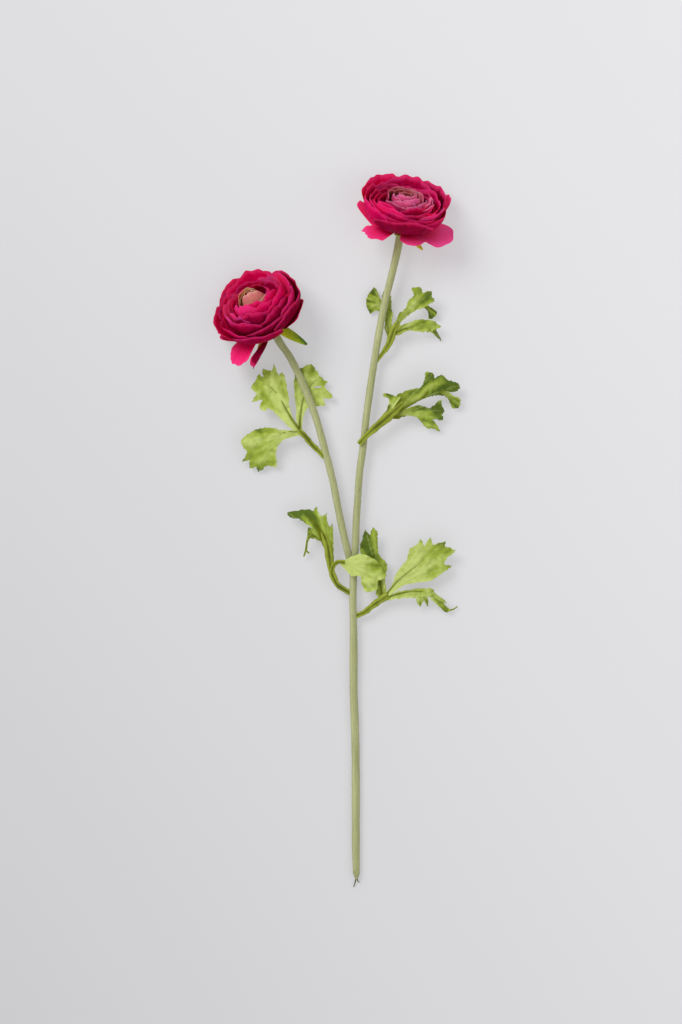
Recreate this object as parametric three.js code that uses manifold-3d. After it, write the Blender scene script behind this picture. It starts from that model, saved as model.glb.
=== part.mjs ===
// Persian buttercup, cut and laid down on a surface: one forked stem with two double crimson blooms and
// five cut leaves. Millimetres, +Z up. The spray lies on the plane Z = 0 with its cut end towards -Y and
// its blooms towards +Y. The origin is on that plane, under the middle of the spray.
import * as THREE from "three";
import { mergeVertices } from "three/addons/utils/BufferGeometryUtils.js";
import Module from "manifold-3d";

const wasm = await Module();
wasm.setup();

// Driving dimensions
const STEM_RADIUS = 2.6; // the main stem, near its cut end
const STEM_FOOT_RADIUS = 2.2; // the main stem right at its cut end
const BRANCH_RADIUS = 2.3; // both flowering branches
const FORK_RADIUS = 1.6; // the side branch where it leaves the main stem
const COLLAR_RADIUS = 3.4; // a branch where it meets its bloom
const PETAL_THICKNESS = 0.7; // sepals too
const LEAF_THICKNESS = 0.8;
const CLEARANCE = 0.3; // between one piece and the next that it sits against
const LEAF_FOOT = 1.3; // half the width of a leaf blade where it leaves its stalk
const INNER_SPACING = 5; // between the points that a leaf blade takes its height from
const STALK_FLATNESS = 0.7; // height of a leaf stalk as a share of its width
const SEPAL_HALF_WIDTH = 3.4;
const CALYX_RADIUS = 4.6; // the green cup under a bloom
const CALYX_TOP = 3; // its height, from the bloom's foot
const CORE_RADIUS = 7.8; // the body that carries the crimson petals
const CORE_TOP = 13; // its height, from the bloom's foot
const HEART_CORE_RADIUS = 4.8; // the body that carries the heart petals
const HEART_CORE_HEIGHT = 14;
const SURFACE_SIZE = 600; // the block that stands for what the spray lies on

// How petals follow each other up their core. A rise is from one ring to the next, and a turn is a share of
// the angle between two petals of a ring.
const RING_PETALS = 5;
const RING_FOOT = 4.9;
const RING_RISE = 1.75;
const RING_TURN = 0.382;
const HEART_PETALS = 4;
const HEART_FOOT = 1.6;
const HEART_RISE = 1.7;
const HEART_TURN = 0.4;

// Routes of the stem, from the cut end up, each point [x, y, z]
const MAIN_ROUTE = [
  [11.5, -221, 2.35], [11.1, -199.5, 2.35], [11, -147.7, 2.35], [10.4, -121.8, 3.1], [9.7, -102.3, 3.5],
  [9.7, -76.4, 4.2], [9.5, -57, 4.8], [9.2, -44.1, 5.2], [9.5, -31.2, 5.6], [10.1, -19.5, 5.9],
  [10.9, -8.6, 6.1], [11.4, 6.3, 6.3], [12.3, 20.5, 6.5], [13.6, 38.6, 6.7], [15.6, 52.7, 6.8],
  [17.7, 72.1, 7], [20.3, 91.5, 7], [23.2, 110.8, 7.2], [25.9, 126.9, 7.4], [28.8, 142.9, 8],
  [31.8, 155.7, 9], [35.3, 169.6, 10.9], [38.1, 182.1, 13.3], [39.7, 191.4, 15.6],
];
const SIDE_ROUTE = [
  [9.5, -33.5, 5.6], [8.1, -22.1, 6], [5.6, -11.8, 6.4], [2.6, 1.1, 6.8], [-0.1, 14, 7],
  [-3.9, 33.4, 7.2], [-8.8, 52.7, 7.2], [-14.2, 72.1, 7.2], [-20.4, 89.5, 7.2], [-26.5, 103, 7.3],
  [-31.3, 112.6, 7.8], [-37.1, 120.9, 8.8], [-41.2, 127.8, 10.1], [-43.4, 131.6, 11.3],
];
const TORN_END = {
  neck: [[11.4, -216.5, 2.5], [11.5, -221.5, 2.4], [11.5, -225, 2]],
  strands: [
    [[11.5, -223.5, 2.2], [10.6, -227.5, 1.4], [9.7, -230.2, 0.6]],
    [[11.5, -223.5, 2.2], [12.6, -226.3, 1.8], [13.5, -227, 1.5]],
  ],
};

// Each bloom: the foot at the end of its branch, the way it faces and its size. front scales the petals on
// the side that faces up. Its crimson rings run from the outermost in, as [belly radius, rim radius, rim
// height], its heart rings the same way. Guard petals are [azimuth, half angle, reach, tip height, twist]
// and sepals [azimuth, reach, tip height].
const BLOOMS = {
  upper: {
    foot: MAIN_ROUTE.at(-1),
    facing: [0.12, 0.875, 0.47],
    size: 1,
    front: 0.9,
    seed: 1,
    rings: [[27, 26.5, 28], [24.4, 23.6, 30.5], [21.8, 20.8, 29.5], [19.2, 18.2, 27], [16.6, 15.8, 24.5]],
    heart: [[12.8, 10, 26.5], [9.8, 6.8, 28.5], [6.6, 3.4, 29.5]],
    guards: [
      [350, 30, 33, 1, 3], [297, 30, 24, 0, 0], [205, 30, 25, 1, 0], [178, 20, 29.5, 17, 0],
      [12, 20, 30.5, 25, 0],
    ],
    sepals: [[328, 17, -7], [40, 13, 1], [112, 13, 1], [184, 13, 1], [256, 12, 1.5]],
  },
  side: {
    foot: SIDE_ROUTE.at(-1),
    facing: [-0.422, 0.644, 0.638],
    size: 1.06,
    front: 1.05,
    seed: 2,
    rings: [[27, 25.5, 26.5], [24.4, 22.6, 29], [21.8, 19.7, 30], [19.2, 16.7, 29.5], [16.6, 13.7, 28]],
    heart: [[11.6, 8.6, 27], [8.8, 5.8, 29], [6, 3, 30]],
    guards: [[217, 20, 32, -2, 0], [244, 5, 33, -3, 0], [192, 26, 30, 15, 0], [2, 26, 30, 18, 0]],
    sepals: [[322, 25, -10], [35, 13, 1], [107, 13, 1], [181, 26, -3], [228, 29, -8]],
  },
};

// The leaves. A stalk is a route with half widths along it. A blade fans out from its base, past mid, to the
// points of its toothed rim, which run from one side of the base round the tip to the other side.
const LEAVES = {
  leaf_side_branch: {
    stalks: [
      {
        route: [
          [-9, 48, 7.5], [-13.5, 52.5, 8], [-18, 57, 9], [-21.5, 61.5, 9.5], [-25.5, 65.5, 9.5],
        ],
        halfWidths: [1.5, 1.7, 1.8, 1.8],
      },
    ],
    blades: [
      {
        base: [-25.5, 65, 9.5], mid: [-37, 83, 12], rim: [
          [-32.5, 68, 9], [-39, 74.5, 9.5], [-45, 79.5, 10], [-47.5, 77.5, 9], [-51, 80, 9],
          [-49, 85, 11], [-56, 83.5, 9.5], [-52.5, 89, 11.5], [-56.5, 92.5, 11], [-53.5, 97, 12.5],
          [-51, 101.5, 12.5], [-48, 99.5, 12.5], [-49, 105, 13], [-43, 103.5, 12], [-41.5, 108, 13],
          [-38.5, 100, 12], [-36.5, 103, 11], [-34, 97, 10.5], [-32.5, 88.5, 9.5], [-31.5, 80, 9],
          [-29.5, 73.5, 9],
        ],
      },
      {
        base: [-25, 65.5, 9], mid: [-25.5, 82.5, 1.5], rim: [
          [-27.5, 73.5, 7.5], [-28, 84, 5.5], [-29, 95.5, 4.5], [-27.5, 103.5, 3.5], [-19, 108, 5],
          [-16, 106.5, 5], [-13, 102, 5.5], [-9.5, 98, 6], [-7, 96.5, 6.5], [-9, 94.5, 5.5],
          [-7.5, 91.5, 5.5], [-4, 88, 6.5], [-5, 86, 6], [-10.5, 85.5, 4.5], [-8.5, 82, 4.5],
          [-14.5, 81, 3.5], [-20.5, 79.5, 4], [-23, 74, 6.5],
        ],
      },
      {
        base: [-24, 63.5, 9.5], mid: [-44, 61.5, 14], rim: [
          [-30, 65.5, 10.5], [-37, 65.5, 11.5], [-44, 67, 12], [-51, 66.5, 11.5], [-57, 63.5, 10.5],
          [-61.5, 60.5, 9], [-62.5, 56, 8], [-59, 51, 7.5], [-62.5, 45, 5], [-57.5, 46.5, 6.5],
          [-57.5, 41, 4], [-53, 42, 5], [-52, 38.5, 3.5], [-45.5, 43, 5], [-40, 41.5, 4.5],
          [-40.5, 49.5, 7.5], [-39, 55.5, 9], [-34, 60, 9.5], [-28.5, 61.5, 9.5],
        ],
      },
    ],
  },
  leaf_upper: {
    stalks: [
      {
        route: [
          [24, 109.5, 7], [28.5, 115.5, 7.5], [32, 120.5, 8], [34, 125.5, 8.5], [35.5, 130, 9],
          [38.5, 135, 9.5],
        ],
        halfWidths: [1.2, 1.4, 2.2, 2.4, 1.6],
      },
    ],
    blades: [
      {
        base: [33, 125, 8], mid: [32, 138, 3], rim: [
          [29.5, 131.5, 6], [29.5, 142, 3], [28, 150, 2.5], [29, 155.5, 2.5], [31.5, 151, 2.5],
          [34, 152.5, 4], [34, 146.5, 5], [35, 140.5, 6.5],
        ],
      },
      {
        base: [31.5, 147.5, 3], mid: [25.5, 147, 4], rim: [
          [27, 143, 3], [23, 142.5, 3], [20.5, 141, 3], [18, 146, 4], [18.5, 151.5, 4.5],
          [20, 154.5, 4.5], [23, 158, 4], [25.5, 154.5, 3.5], [27.5, 150, 3],
        ],
      },
      {
        base: [36.5, 132, 9], mid: [46, 143.5, 12], rim: [
          [39, 141, 9.5], [43.5, 144, 12.5], [45, 149, 14], [48.5, 151.5, 15], [47, 156.5, 15],
          [52.5, 157, 15], [54.5, 153.5, 13.5], [59.5, 155, 13], [60, 151, 11.5], [62, 148.5, 10],
          [58, 146.5, 10], [55, 144, 9.5], [50, 143, 9.5], [45.5, 139.5, 9], [41, 136, 8.5],
        ],
      },
      {
        base: [35.5, 128, 9], mid: [48, 133.5, 13.5], rim: [
          [39, 133, 10], [45.5, 134.5, 12], [52.5, 136.5, 12.5], [59.5, 136, 11], [66, 132.5, 8],
          [63, 131, 7.5], [59.5, 129, 6.5], [52, 129, 9], [44.5, 129.5, 10.5], [39, 126.5, 9.5],
        ],
      },
      {
        base: [58, 132, 9.5], mid: [62, 130, 7], rim: [
          [63, 131, 7.5], [64.5, 127.5, 5], [66.5, 123.5, 2.5], [63.5, 126, 4.5], [59.5, 129, 6.5],
        ],
      },
      {
        base: [55, 146, 10], mid: [59, 144.5, 8], rim: [
          [57.5, 142.5, 6.5], [58.5, 137.5, 3.5], [61, 138, 3.5], [63.5, 141.5, 4.5], [61.5, 143.5, 6],
          [59, 145, 8],
        ],
      },
    ],
  },
  leaf_middle: {
    stalks: [
      {
        route: [
          [13, 56.5, 10.5], [17.5, 61.5, 11], [24, 67.5, 10.5], [30.5, 73, 10.5], [36.5, 78.5, 11],
          [42, 83.5, 12],
        ],
        halfWidths: [1.5, 1.9, 2.5, 3, 3.2, 1.5],
      },
    ],
    blades: [
      {
        base: [31.5, 74.5, 11], mid: [35, 83, 13], rim: [
          [30, 76, 10.5], [31.5, 80.5, 12], [32.5, 85.5, 14], [29, 86.5, 15], [29.5, 89, 15.5],
          [34.5, 88, 15], [40, 86.5, 13.5],
        ],
      },
      {
        base: [30.5, 72.5, 10.5], mid: [47, 86.5, 14.5], rim: [
          [38, 88.5, 13], [45, 91, 14.5], [52.5, 92.5, 15], [55, 97, 15.5], [56, 102.5, 16],
          [60.5, 102, 14.5], [62, 98.5, 13], [66, 101, 13], [70.5, 97.5, 11.5], [75, 96.5, 10.5],
          [78, 94.5, 9.5], [76.5, 90.5, 9], [71, 90, 10], [68.5, 87.5, 10], [64, 88, 11.5], [59, 87, 12],
          [52.5, 84.5, 12.5], [47, 81.5, 12],
        ],
      },
      {
        base: [66, 90.5, 12], mid: [71.5, 90, 10.5], rim: [
          [71, 90.5, 10], [74, 87.5, 8], [78.5, 85.5, 6], [78, 81, 5], [74.5, 79.5, 4.5],
          [72.5, 82, 5.5], [70.5, 86, 8.5], [66.5, 88.5, 11],
        ],
      },
      {
        base: [32, 74, 9.5], mid: [48.5, 79, 12], rim: [
          [47, 80.5, 12], [51.5, 81.5, 12.5], [59, 79.5, 11], [63.5, 83.5, 12.5], [66, 84.5, 13],
          [66.5, 80.5, 10.5], [68.5, 78, 7.5], [66.5, 75.5, 7], [67.5, 72, 6], [60, 72.5, 8],
          [63.5, 69, 5.5], [65.5, 65, 3.5], [61.5, 66.5, 4.5], [57, 67, 6], [54, 70, 8], [50, 74, 9.5],
          [44.5, 75, 10.5], [38.5, 72.5, 10],
        ],
      },
    ],
  },
  leaf_fork: {
    stalks: [
      {
        route: [
          [8, -40, 5.5], [4, -37.5, 6], [-0.5, -34.5, 7], [-3.5, -29, 7.5], [-5, -23.5, 8.5],
          [-6, -15, 9.5], [-7.5, -7, 10.5], [-10.5, 0, 11.5],
        ],
        halfWidths: [1.5, 1.8, 2, 2.1, 2.4, 2.8, 2.4, 1.2],
      },
      {
        route: [
          [-4.5, -26.5, 8], [-3.5, -22, 10.5], [-0.5, -19.5, 12.5], [4, -19.5, 13.5],
        ],
        halfWidths: [1.5, 1.5, 1.4, 1.4],
      },
      {
        route: [
          [-17, -1.5, 9.5], [-20, -5.5, 8], [-21, -11, 5.5], [-22.5, -16, 4],
        ],
        halfWidths: [0.8, 0.7, 0.7, 0.5],
      },
      {
        route: [
          [-21, -11.5, 5.5], [-20.3, -12.8, 5], [-19, -14, 4.5],
        ],
        halfWidths: [0.6, 0.5],
      },
    ],
    blades: [
      {
        base: [-5.5, -19.5, 9], mid: [-8.5, -2, 12], rim: [
          [-8, -13, 9], [-11.5, -6, 9.5], [-16.5, 1.5, 10.5], [-22.5, 6.5, 11], [-26, 8.5, 10.5],
          [-30.5, 9, 9], [-33, 12.5, 8.5], [-19, 14.5, 13], [-16, 13.5, 13.5], [-14, 16.5, 14],
          [-12.5, 11, 13], [-9.5, 10.5, 13], [-7.5, 12, 13.5], [-7.5, 7, 12.5], [-5.5, 3, 12],
          [-4, 5.5, 12], [-3.5, -2, 11], [-3, -11.5, 10],
        ],
      },
      {
        base: [-10.5, -5.5, 10.5], mid: [-15, -2, 10], rim: [
          [-13.5, -5.5, 9], [-18, -4, 8], [-20.5, -6, 7], [-20, 0, 8.5], [-19, 3, 10], [-14.5, 1, 11],
        ],
      },
      {
        base: [1.5, -20, 13], mid: [12.5, -22, 15], rim: [
          [6.5, -17, 14], [13, -14, 14.5], [19, -15.5, 14.5], [24.5, -18.5, 14], [28, -24.5, 12],
          [31, -28, 10.5], [29, -30.5, 10], [25.5, -31.5, 10], [25, -37, 9], [20, -38.5, 9],
          [16.5, -38, 8.5], [14.5, -32.5, 10], [14, -28.5, 12], [8.5, -28.5, 13.5], [5, -25, 13.5],
        ],
      },
    ],
  },
  leaf_lowest: {
    stalks: [
      {
        route: [
          [10.5, -54.5, 5], [16.5, -52, 5.5], [21.5, -48, 6.5], [26.5, -44.5, 7], [32, -41, 7],
        ],
        halfWidths: [1.6, 1.8, 2, 2.3, 2.4],
      },
      {
        route: [
          [70, -50.3, 4], [73.5, -50.5, 2.5], [77, -48.5, 2],
        ],
        halfWidths: [0.6, 0.5, 0.4],
      },
    ],
    blades: [
      {
        base: [28, -44.5, 7], mid: [25, -26, 3], rim: [
          [24, -40, 5.5], [25, -31, 4.5], [19, -22, 4.5], [14, -13, 6], [15, -6, 7.5], [17.5, 1.5, 9],
          [20, -2.5, 8], [22, 3, 8.5], [25, -0.5, 8], [25, -8.5, 7], [26, -14.5, 6.5], [30, -19, 7],
          [31.5, -23.5, 6], [30, -30, 5], [31, -37.5, 6],
        ],
      },
      {
        base: [30, -42, 7], mid: [43, -28, 10.5], rim: [
          [34, -35.5, 8], [37.5, -26.5, 10], [44, -18, 11], [46, -10.5, 11.5], [50, -9, 12],
          [52.5, -4.5, 12.5], [55.5, -9, 12], [59, -3.5, 12.5], [61, -8.5, 12], [69, -6, 11.5],
          [68.5, -9.5, 11], [75.5, -12, 8.5], [70, -16.5, 9], [68, -21, 9.5], [73, -22, 7.5],
          [67.5, -26, 8.5], [60, -31.5, 8.5], [51, -32.5, 9], [42, -34.5, 8.5], [37, -38, 8],
        ],
      },
      {
        base: [30, -43.5, 7], mid: [47, -37, 12], rim: [
          [38.5, -38, 9.5], [46, -37.5, 10.5], [53.5, -36.5, 11], [59.5, -36.5, 10.5], [62, -40, 9],
          [55.5, -41.5, 9], [50, -42.5, 8], [42, -42.5, 8.5], [34.5, -44, 7.5],
        ],
      },
      {
        base: [57, -39, 10.5], mid: [63, -41.5, 8.5], rim: [
          [62, -39, 9.5], [66, -42.5, 8], [70, -46, 6], [67, -45.5, 6.5], [72, -50.5, 3],
          [69.5, -52, 2.5], [64, -47.5, 5.5], [58.5, -42, 8.5],
        ],
      },
      {
        base: [52.5, -39, 10.5], mid: [53, -42.5, 7.5], rim: [
          [57, -41, 8.5], [58, -48.5, 5], [55, -44, 6.5], [53, -48.5, 5], [50.5, -45.5, 6],
          [49.5, -41.5, 8.5],
        ],
      },
    ],
  },
};

const deg = Math.PI / 180;
const vec = (p) => new THREE.Vector3(...p);
const { clamp, lerp } = THREE.MathUtils;

// A repeatable number from 0 to 1 for each seed and index.
function chance(seed, index) {
  const x = Math.sin(index * 12.9898 + seed * 78.233) * 43758.5453;
  return x - Math.floor(x);
}

// Value at share t of a cubic with four control values.
function cubic(a, b, c, d, t) {
  const s = 1 - t;
  return s * s * s * a + 3 * s * s * t * b + 3 * s * t * t * c + t * t * t * d;
}

// The same geometry with its faces turned to point out.
function outwards(geometry) {
  const position = geometry.attributes.position;
  const index = geometry.index.array;
  const corners = [new THREE.Vector3(), new THREE.Vector3(), new THREE.Vector3()];
  let volume = 0;
  for (let i = 0; i < index.length; i += 3) {
    corners.forEach((corner, k) => corner.fromBufferAttribute(position, index[i + k]));
    volume += corners[0].dot(corners[1].cross(corners[2]));
  }
  if (volume < 0) {
    for (let i = 0; i < index.length; i += 3) {
      [index[i + 1], index[i + 2]] = [index[i + 2], index[i + 1]];
    }
  }
  return geometry;
}

function toSolid(geometry) {
  const bare = outwards(geometry).clone();
  bare.deleteAttribute("normal");
  bare.deleteAttribute("uv");
  const merged = mergeVertices(bare, 1e-4);
  return new wasm.Manifold(
    new wasm.Mesh({
      numProp: 3,
      vertProperties: new Float32Array(merged.attributes.position.array),
      triVerts: new Uint32Array(merged.index.array),
    }),
  );
}

function solidOf(points, index) {
  const values = points.flatMap((p) => p.toArray());
  const geometry = new THREE.BufferGeometry();
  geometry.setAttribute("position", new THREE.BufferAttribute(new Float32Array(values), 3));
  geometry.setIndex(index);
  return toSolid(geometry);
}

// The largest body of a solid. What joining and cutting left loose or hollow inside is dropped.
function mainBody(solid) {
  return solid.decompose().reduce((largest, body) => (body.volume() > largest.volume() ? body : largest));
}

function fuse(solids) {
  return mainBody(solids.reduce((whole, piece) => whole.add(piece)));
}

function toMesh(name, solid, material) {
  const { vertProperties, triVerts } = solid.getMesh();
  const geometry = new THREE.BufferGeometry();
  geometry.setAttribute("position", new THREE.BufferAttribute(new Float32Array(vertProperties), 3));
  geometry.setIndex(new THREE.BufferAttribute(new Uint32Array(triVerts), 1));
  geometry.computeVertexNormals();
  const mesh = new THREE.Mesh(geometry, material);
  mesh.name = name;
  return mesh;
}

// A rod along a route, with half widths spread evenly along it, flattened where flatness is below 1. It is
// a lathed rod, bent along the route. Nothing goes below Z = 0.
function rod(route, halfWidths, sides, steps, flatness = 1) {
  const curve = new THREE.CatmullRomCurve3(route.map(vec), false, "centripetal");
  const profile = [new THREE.Vector2(0, 0)];
  for (let i = 0; i <= steps; i++) {
    const along = (i / steps) * (halfWidths.length - 1);
    const k = Math.min(Math.floor(along), halfWidths.length - 2);
    profile.push(new THREE.Vector2(lerp(halfWidths[k], halfWidths[k + 1], along - k), i));
  }
  profile.push(new THREE.Vector2(0, steps));
  const geometry = new THREE.LatheGeometry(profile, sides, Math.PI / sides); // a flat side underneath
  const position = geometry.attributes.position;
  for (let i = 0; i < position.count; i++) {
    const share = Math.round(position.getY(i)) / steps;
    const along = curve.getTangentAt(share);
    const across = new THREE.Vector3(along.y, -along.x, 0).normalize();
    const over = across.clone().cross(along);
    const point = curve
      .getPointAt(share)
      .addScaledVector(across, position.getX(i))
      .addScaledVector(over, position.getZ(i) * flatness);
    position.setXYZ(i, point.x, point.y, Math.max(point.z, 0));
  }
  return toSolid(geometry);
}

// A thin closed petal on a grid of points, given as rows from its root to its rim. Both faces are split
// along the same diagonals.
function blade(grid) {
  const rows = grid.length - 1;
  const columns = grid[0].length - 1;
  const near = (j, i) => grid[clamp(j, 0, rows)][clamp(i, 0, columns)];
  const normal = (j, i) => {
    const [left, right] = j ? [near(j, i - 1), near(j, i + 1)] : [near(0, 0), near(0, columns)];
    const across = right.clone().sub(left);
    const along = near(j + 1, i).clone().sub(near(j - 1, i));
    return across.cross(along).setLength(PETAL_THICKNESS / 2);
  };
  const face = (side) =>
    grid.flatMap((row, j) => row.map((p, i) => p.clone().addScaledVector(normal(j, i), side)));
  const points = [...face(1), ...face(-1)];
  const far = points.length / 2;
  const wide = columns + 1;
  const index = [];
  for (let j = 0; j < rows; j++) {
    for (let i = 0; i < columns; i++) {
      const a = j * wide + i;
      const [b, c, d] = [a + 1, a + wide, a + wide + 1];
      index.push(a, b, d, a, d, c, far + a, far + d, far + b, far + a, far + c, far + d);
    }
  }
  const wall = (a, b) => index.push(a, far + a, far + b, a, far + b, b);
  for (let i = 0; i < columns; i++) {
    wall(i, i + 1);
    wall(rows * wide + i + 1, rows * wide + i);
  }
  for (let j = 0; j < rows; j++) {
    wall((j + 1) * wide, j * wide);
    wall(j * wide + columns, (j + 1) * wide + columns);
  }
  return solidOf(points, index);
}

// A grid of points over a surface at(s, t), s from -1 to 1 across and t from 0 to 1 from root to rim.
function gridOf(at, columns, rows) {
  const line = (count) => Array.from({ length: count + 1 }, (_, k) => k / count);
  return line(rows).map((t) => line(columns).map((u) => at(2 * u - 1, t)));
}

// Whether a point lies inside an outline as seen from above, and farther than margin from its edges.
function liesInside(point, outline, margin) {
  const flat = (p) => new THREE.Vector3(p.x, p.y, 0);
  let inside = false;
  let gap = Infinity;
  outline.forEach((a, k) => {
    const b = outline[(k + 1) % outline.length];
    if (a.y > point.y !== b.y > point.y) {
      inside = inside !== point.x < lerp(a.x, b.x, (point.y - a.y) / (b.y - a.y));
    }
    const edge = new THREE.Line3(flat(a), flat(b));
    gap = Math.min(gap, edge.closestPointToPoint(flat(point), true, new THREE.Vector3()).distanceTo(flat(point)));
  });
  return inside && gap > margin;
}

// A leaf blade. As seen from above it is one outline split into triangles. Lines from its base to its rim
// are drawn towards mid, and points on them give the blade its height inside.
function leafBlade({ base, mid, rim }) {
  const root = vec(base);
  const bend = vec(mid);
  const ends = rim.map(vec);
  const farthest = Math.max(...ends.map((end) => end.distanceTo(root)));
  const across = ends.at(-1).clone().sub(ends[0]).setLength(LEAF_FOOT);
  const outline = [root.clone().sub(across), ...ends, root.clone().add(across)];

  const inner = [];
  for (const share of [0.62, 0.34]) {
    for (const end of ends) {
      const pull = (0.85 * end.distanceTo(root)) / farthest;
      const control = root.clone().lerp(end, 0.5).lerp(bend, pull);
      const point = new THREE.QuadraticBezierCurve3(root, control, end).getPoint(share);
      const clear = inner.every((other) => other.distanceTo(point) > INNER_SPACING);
      if (clear && liesInside(point, outline, INNER_SPACING / 4)) inner.push(point);
    }
  }
  const points = [...outline, ...inner];
  const triangles = THREE.ShapeUtils.triangulateShape(outline, inner.map((point) => [point]));
  const isInside = (a, b) => triangles.some((t) => [0, 1, 2].some((k) => t[k] === b && t[(k + 1) % 3] === a));

  const tilt = new THREE.Vector3();
  triangles.forEach((corners) => {
    const [p, q, r] = corners.map((corner) => points[corner]);
    tilt.add(q.clone().sub(p).cross(r.clone().sub(p)));
  });
  const half = LEAF_THICKNESS / 2 / Math.max(tilt.normalize().z, 0.6);
  const face = (side) => points.map((p) => new THREE.Vector3(p.x, p.y, p.z + side * half));
  const below = points.length;
  const index = [];
  for (const corners of triangles) {
    const [a, b, c] = corners;
    index.push(a, b, c, below + a, below + c, below + b);
    corners.forEach((from, k) => {
      const to = corners[(k + 1) % 3];
      if (!isInside(from, to)) index.push(from, below + from, to, below + from, below + to, to);
    });
  }
  return solidOf([...face(1), ...face(-1)], index);
}

// The frame of a bloom: its Z runs up its axis, and azimuth 0 is the side nearest +X.
function bloomFrame({ foot, facing, size }) {
  const up = vec(facing).normalize();
  const right = new THREE.Vector3(1, 0, 0).addScaledVector(up, -up.x).normalize();
  const frame = new THREE.Matrix4().makeBasis(right, up.clone().cross(right), up);
  return frame.scale(new THREE.Vector3(size, size, size)).setPosition(vec(foot));
}

// A body turned about a bloom's axis, from [radius, height] points that start and end on the axis.
function turned(profile, place) {
  const geometry = new THREE.LatheGeometry(profile.map((p) => new THREE.Vector2(...p)), 8);
  geometry.rotateX(Math.PI / 2); // the lathe's own axis, Y, becomes Z
  return toSolid(geometry.applyMatrix4(place));
}

// A petal. profile has four [radius, height] points from root to rim, azimuth and halfAngle are in degrees,
// lean tucks one edge under the next petal, wave ruffles the rim, twist turns the tip, rounding draws in
// the corners and reach scales the whole length.
function petal(place, columns, rows, shape) {
  const { profile, azimuth, halfAngle, rounding, wave, lean = 0, phase = 0, twist = 0, reach = 1 } = shape;
  const along = (k, t) => cubic(...profile.map((p) => p[k]), t);
  const step = 0.01;
  const surface = (s, t) => {
    const share = reach * t * (1 - rounding * Math.abs(s) ** 2.4);
    const [radius, height] = [along(0, share), along(1, share)];
    const [out, up] = [along(0, share + step) - radius, along(1, share + step) - height];
    const tuck = (lean * s) / Math.hypot(out, up);
    const angle = (azimuth + s * halfAngle) * deg;
    const ruffle = wave * t ** 3;
    const r = radius + tuck * up + ruffle * Math.sin(5 * angle + phase);
    const h = height - tuck * out + 0.6 * ruffle * Math.cos(7 * angle + 2 * phase) + twist * s * t;
    return new THREE.Vector3(r * Math.cos(angle), r * Math.sin(angle), h).applyMatrix4(place);
  };
  return blade(gridOf(surface, columns, rows));
}

// The crimson petals in rings round their core. Each swells out to its ring's belly and turns in to the rim.
function ringPetals(bloom, place) {
  return bloom.rings.flatMap(([belly, rimRadius, rimHeight], ring) => {
    const root = RING_FOOT + RING_RISE * ring;
    const swell = lerp(root, rimHeight, 0.34);
    const profile = [[6, root], [belly * 0.67, root - 1.3], [belly * 1.09, swell], [rimRadius, rimHeight]];
    const wave = lerp(1.1, 0.5, ring / (bloom.rings.length - 1));
    return Array.from({ length: RING_PETALS }, (_, n) => {
      const draw = (k) => chance(bloom.seed, ring * 31 + n * 7 + k);
      const azimuth = (360 / RING_PETALS) * (n + ring * RING_TURN);
      const halfAngle = lerp(33.5, 35.5, draw(2));
      const facingUp = (1 - Math.sin(azimuth * deg)) / 2;
      const reach = lerp(0.94, 1, draw(3)) * lerp(1, bloom.front, facingUp);
      const rim = { rounding: 0.17, lean: 0.5, wave, phase: ring * 0.3 };
      return petal(place, ring < 2 ? 4 : 3, 3, { profile, azimuth, halfAngle, reach, ...rim });
    });
  });
}

// The guard petals, which hang out below the rings.
function guardPetals(bloom, place) {
  return bloom.guards.map(([azimuth, halfAngle, reach, tip, twist]) => {
    const profile = [[4, 4.1], [reach * 0.42, 2.2], [reach * 0.78, 2.8 + 0.34 * tip], [reach, tip]];
    return petal(place, 4, 3, { profile, azimuth, halfAngle, twist, wave: 0.7, rounding: 0.26 });
  });
}

function crimsonPetals(bloom, place) {
  const foot = CALYX_TOP + CLEARANCE;
  const neck = [CALYX_RADIUS, foot];
  const core = [[0, foot], neck, [CORE_RADIUS, 7], [CORE_RADIUS, CORE_TOP], [0, CORE_TOP]];
  return fuse([turned(core, place), ...ringPetals(bloom, place), ...guardPetals(bloom, place)]);
}

// The pale petals that still wrap the middle of the bloom, on their own small core.
function heartPetals(bloom, place) {
  const foot = CORE_TOP + CLEARANCE;
  const top = foot + HEART_CORE_HEIGHT;
  const side = HEART_CORE_RADIUS;
  const core = [[0, foot], [side, foot], [side, foot + 8], [2.6, top - 1], [0, top]];
  const petals = bloom.heart.flatMap(([belly, rimRadius, rimHeight], ring) => {
    const root = foot + HEART_FOOT + HEART_RISE * ring;
    const swell = lerp(root, rimHeight, 0.6);
    const profile = [[3.4, root], [belly * 0.95, root - 0.7], [belly * 1.15, swell], [rimRadius, rimHeight]];
    return Array.from({ length: HEART_PETALS }, (_, n) => {
      const azimuth = (360 / HEART_PETALS) * (n + ring * HEART_TURN);
      const reach = lerp(0.94, 1, chance(bloom.seed + 10, ring * 17 + n * 5 + 2));
      const rim = { rounding: 0.12, lean: 0.4, wave: 0.3, phase: ring };
      return petal(place, 3, ring < 2 ? 3 : 2, { profile, azimuth, halfAngle: 44, reach, ...rim });
    });
  });
  return fuse([turned(core, place), ...petals]);
}

// A sepal: a pointed blade that is widest near its foot, hollow along its middle and bent to its tip height.
function sepal(place, azimuth, reach, tip) {
  const [x, y] = [Math.cos(azimuth * deg), Math.sin(azimuth * deg)];
  const surface = (s, t) => {
    const across = s * SEPAL_HALF_WIDTH * Math.sin(Math.PI * (0.22 + 0.74 * t)) ** 0.8;
    const r = lerp(2.4, reach, t);
    const h = cubic(1.9, 1.7, lerp(1.4, tip, 0.5), tip, t) - 0.9 * s * s * Math.sin(Math.PI * t);
    return new THREE.Vector3(r * x - across * y, r * y + across * x, h).applyMatrix4(place);
  };
  return blade(gridOf(surface, 2, 3));
}

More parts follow.
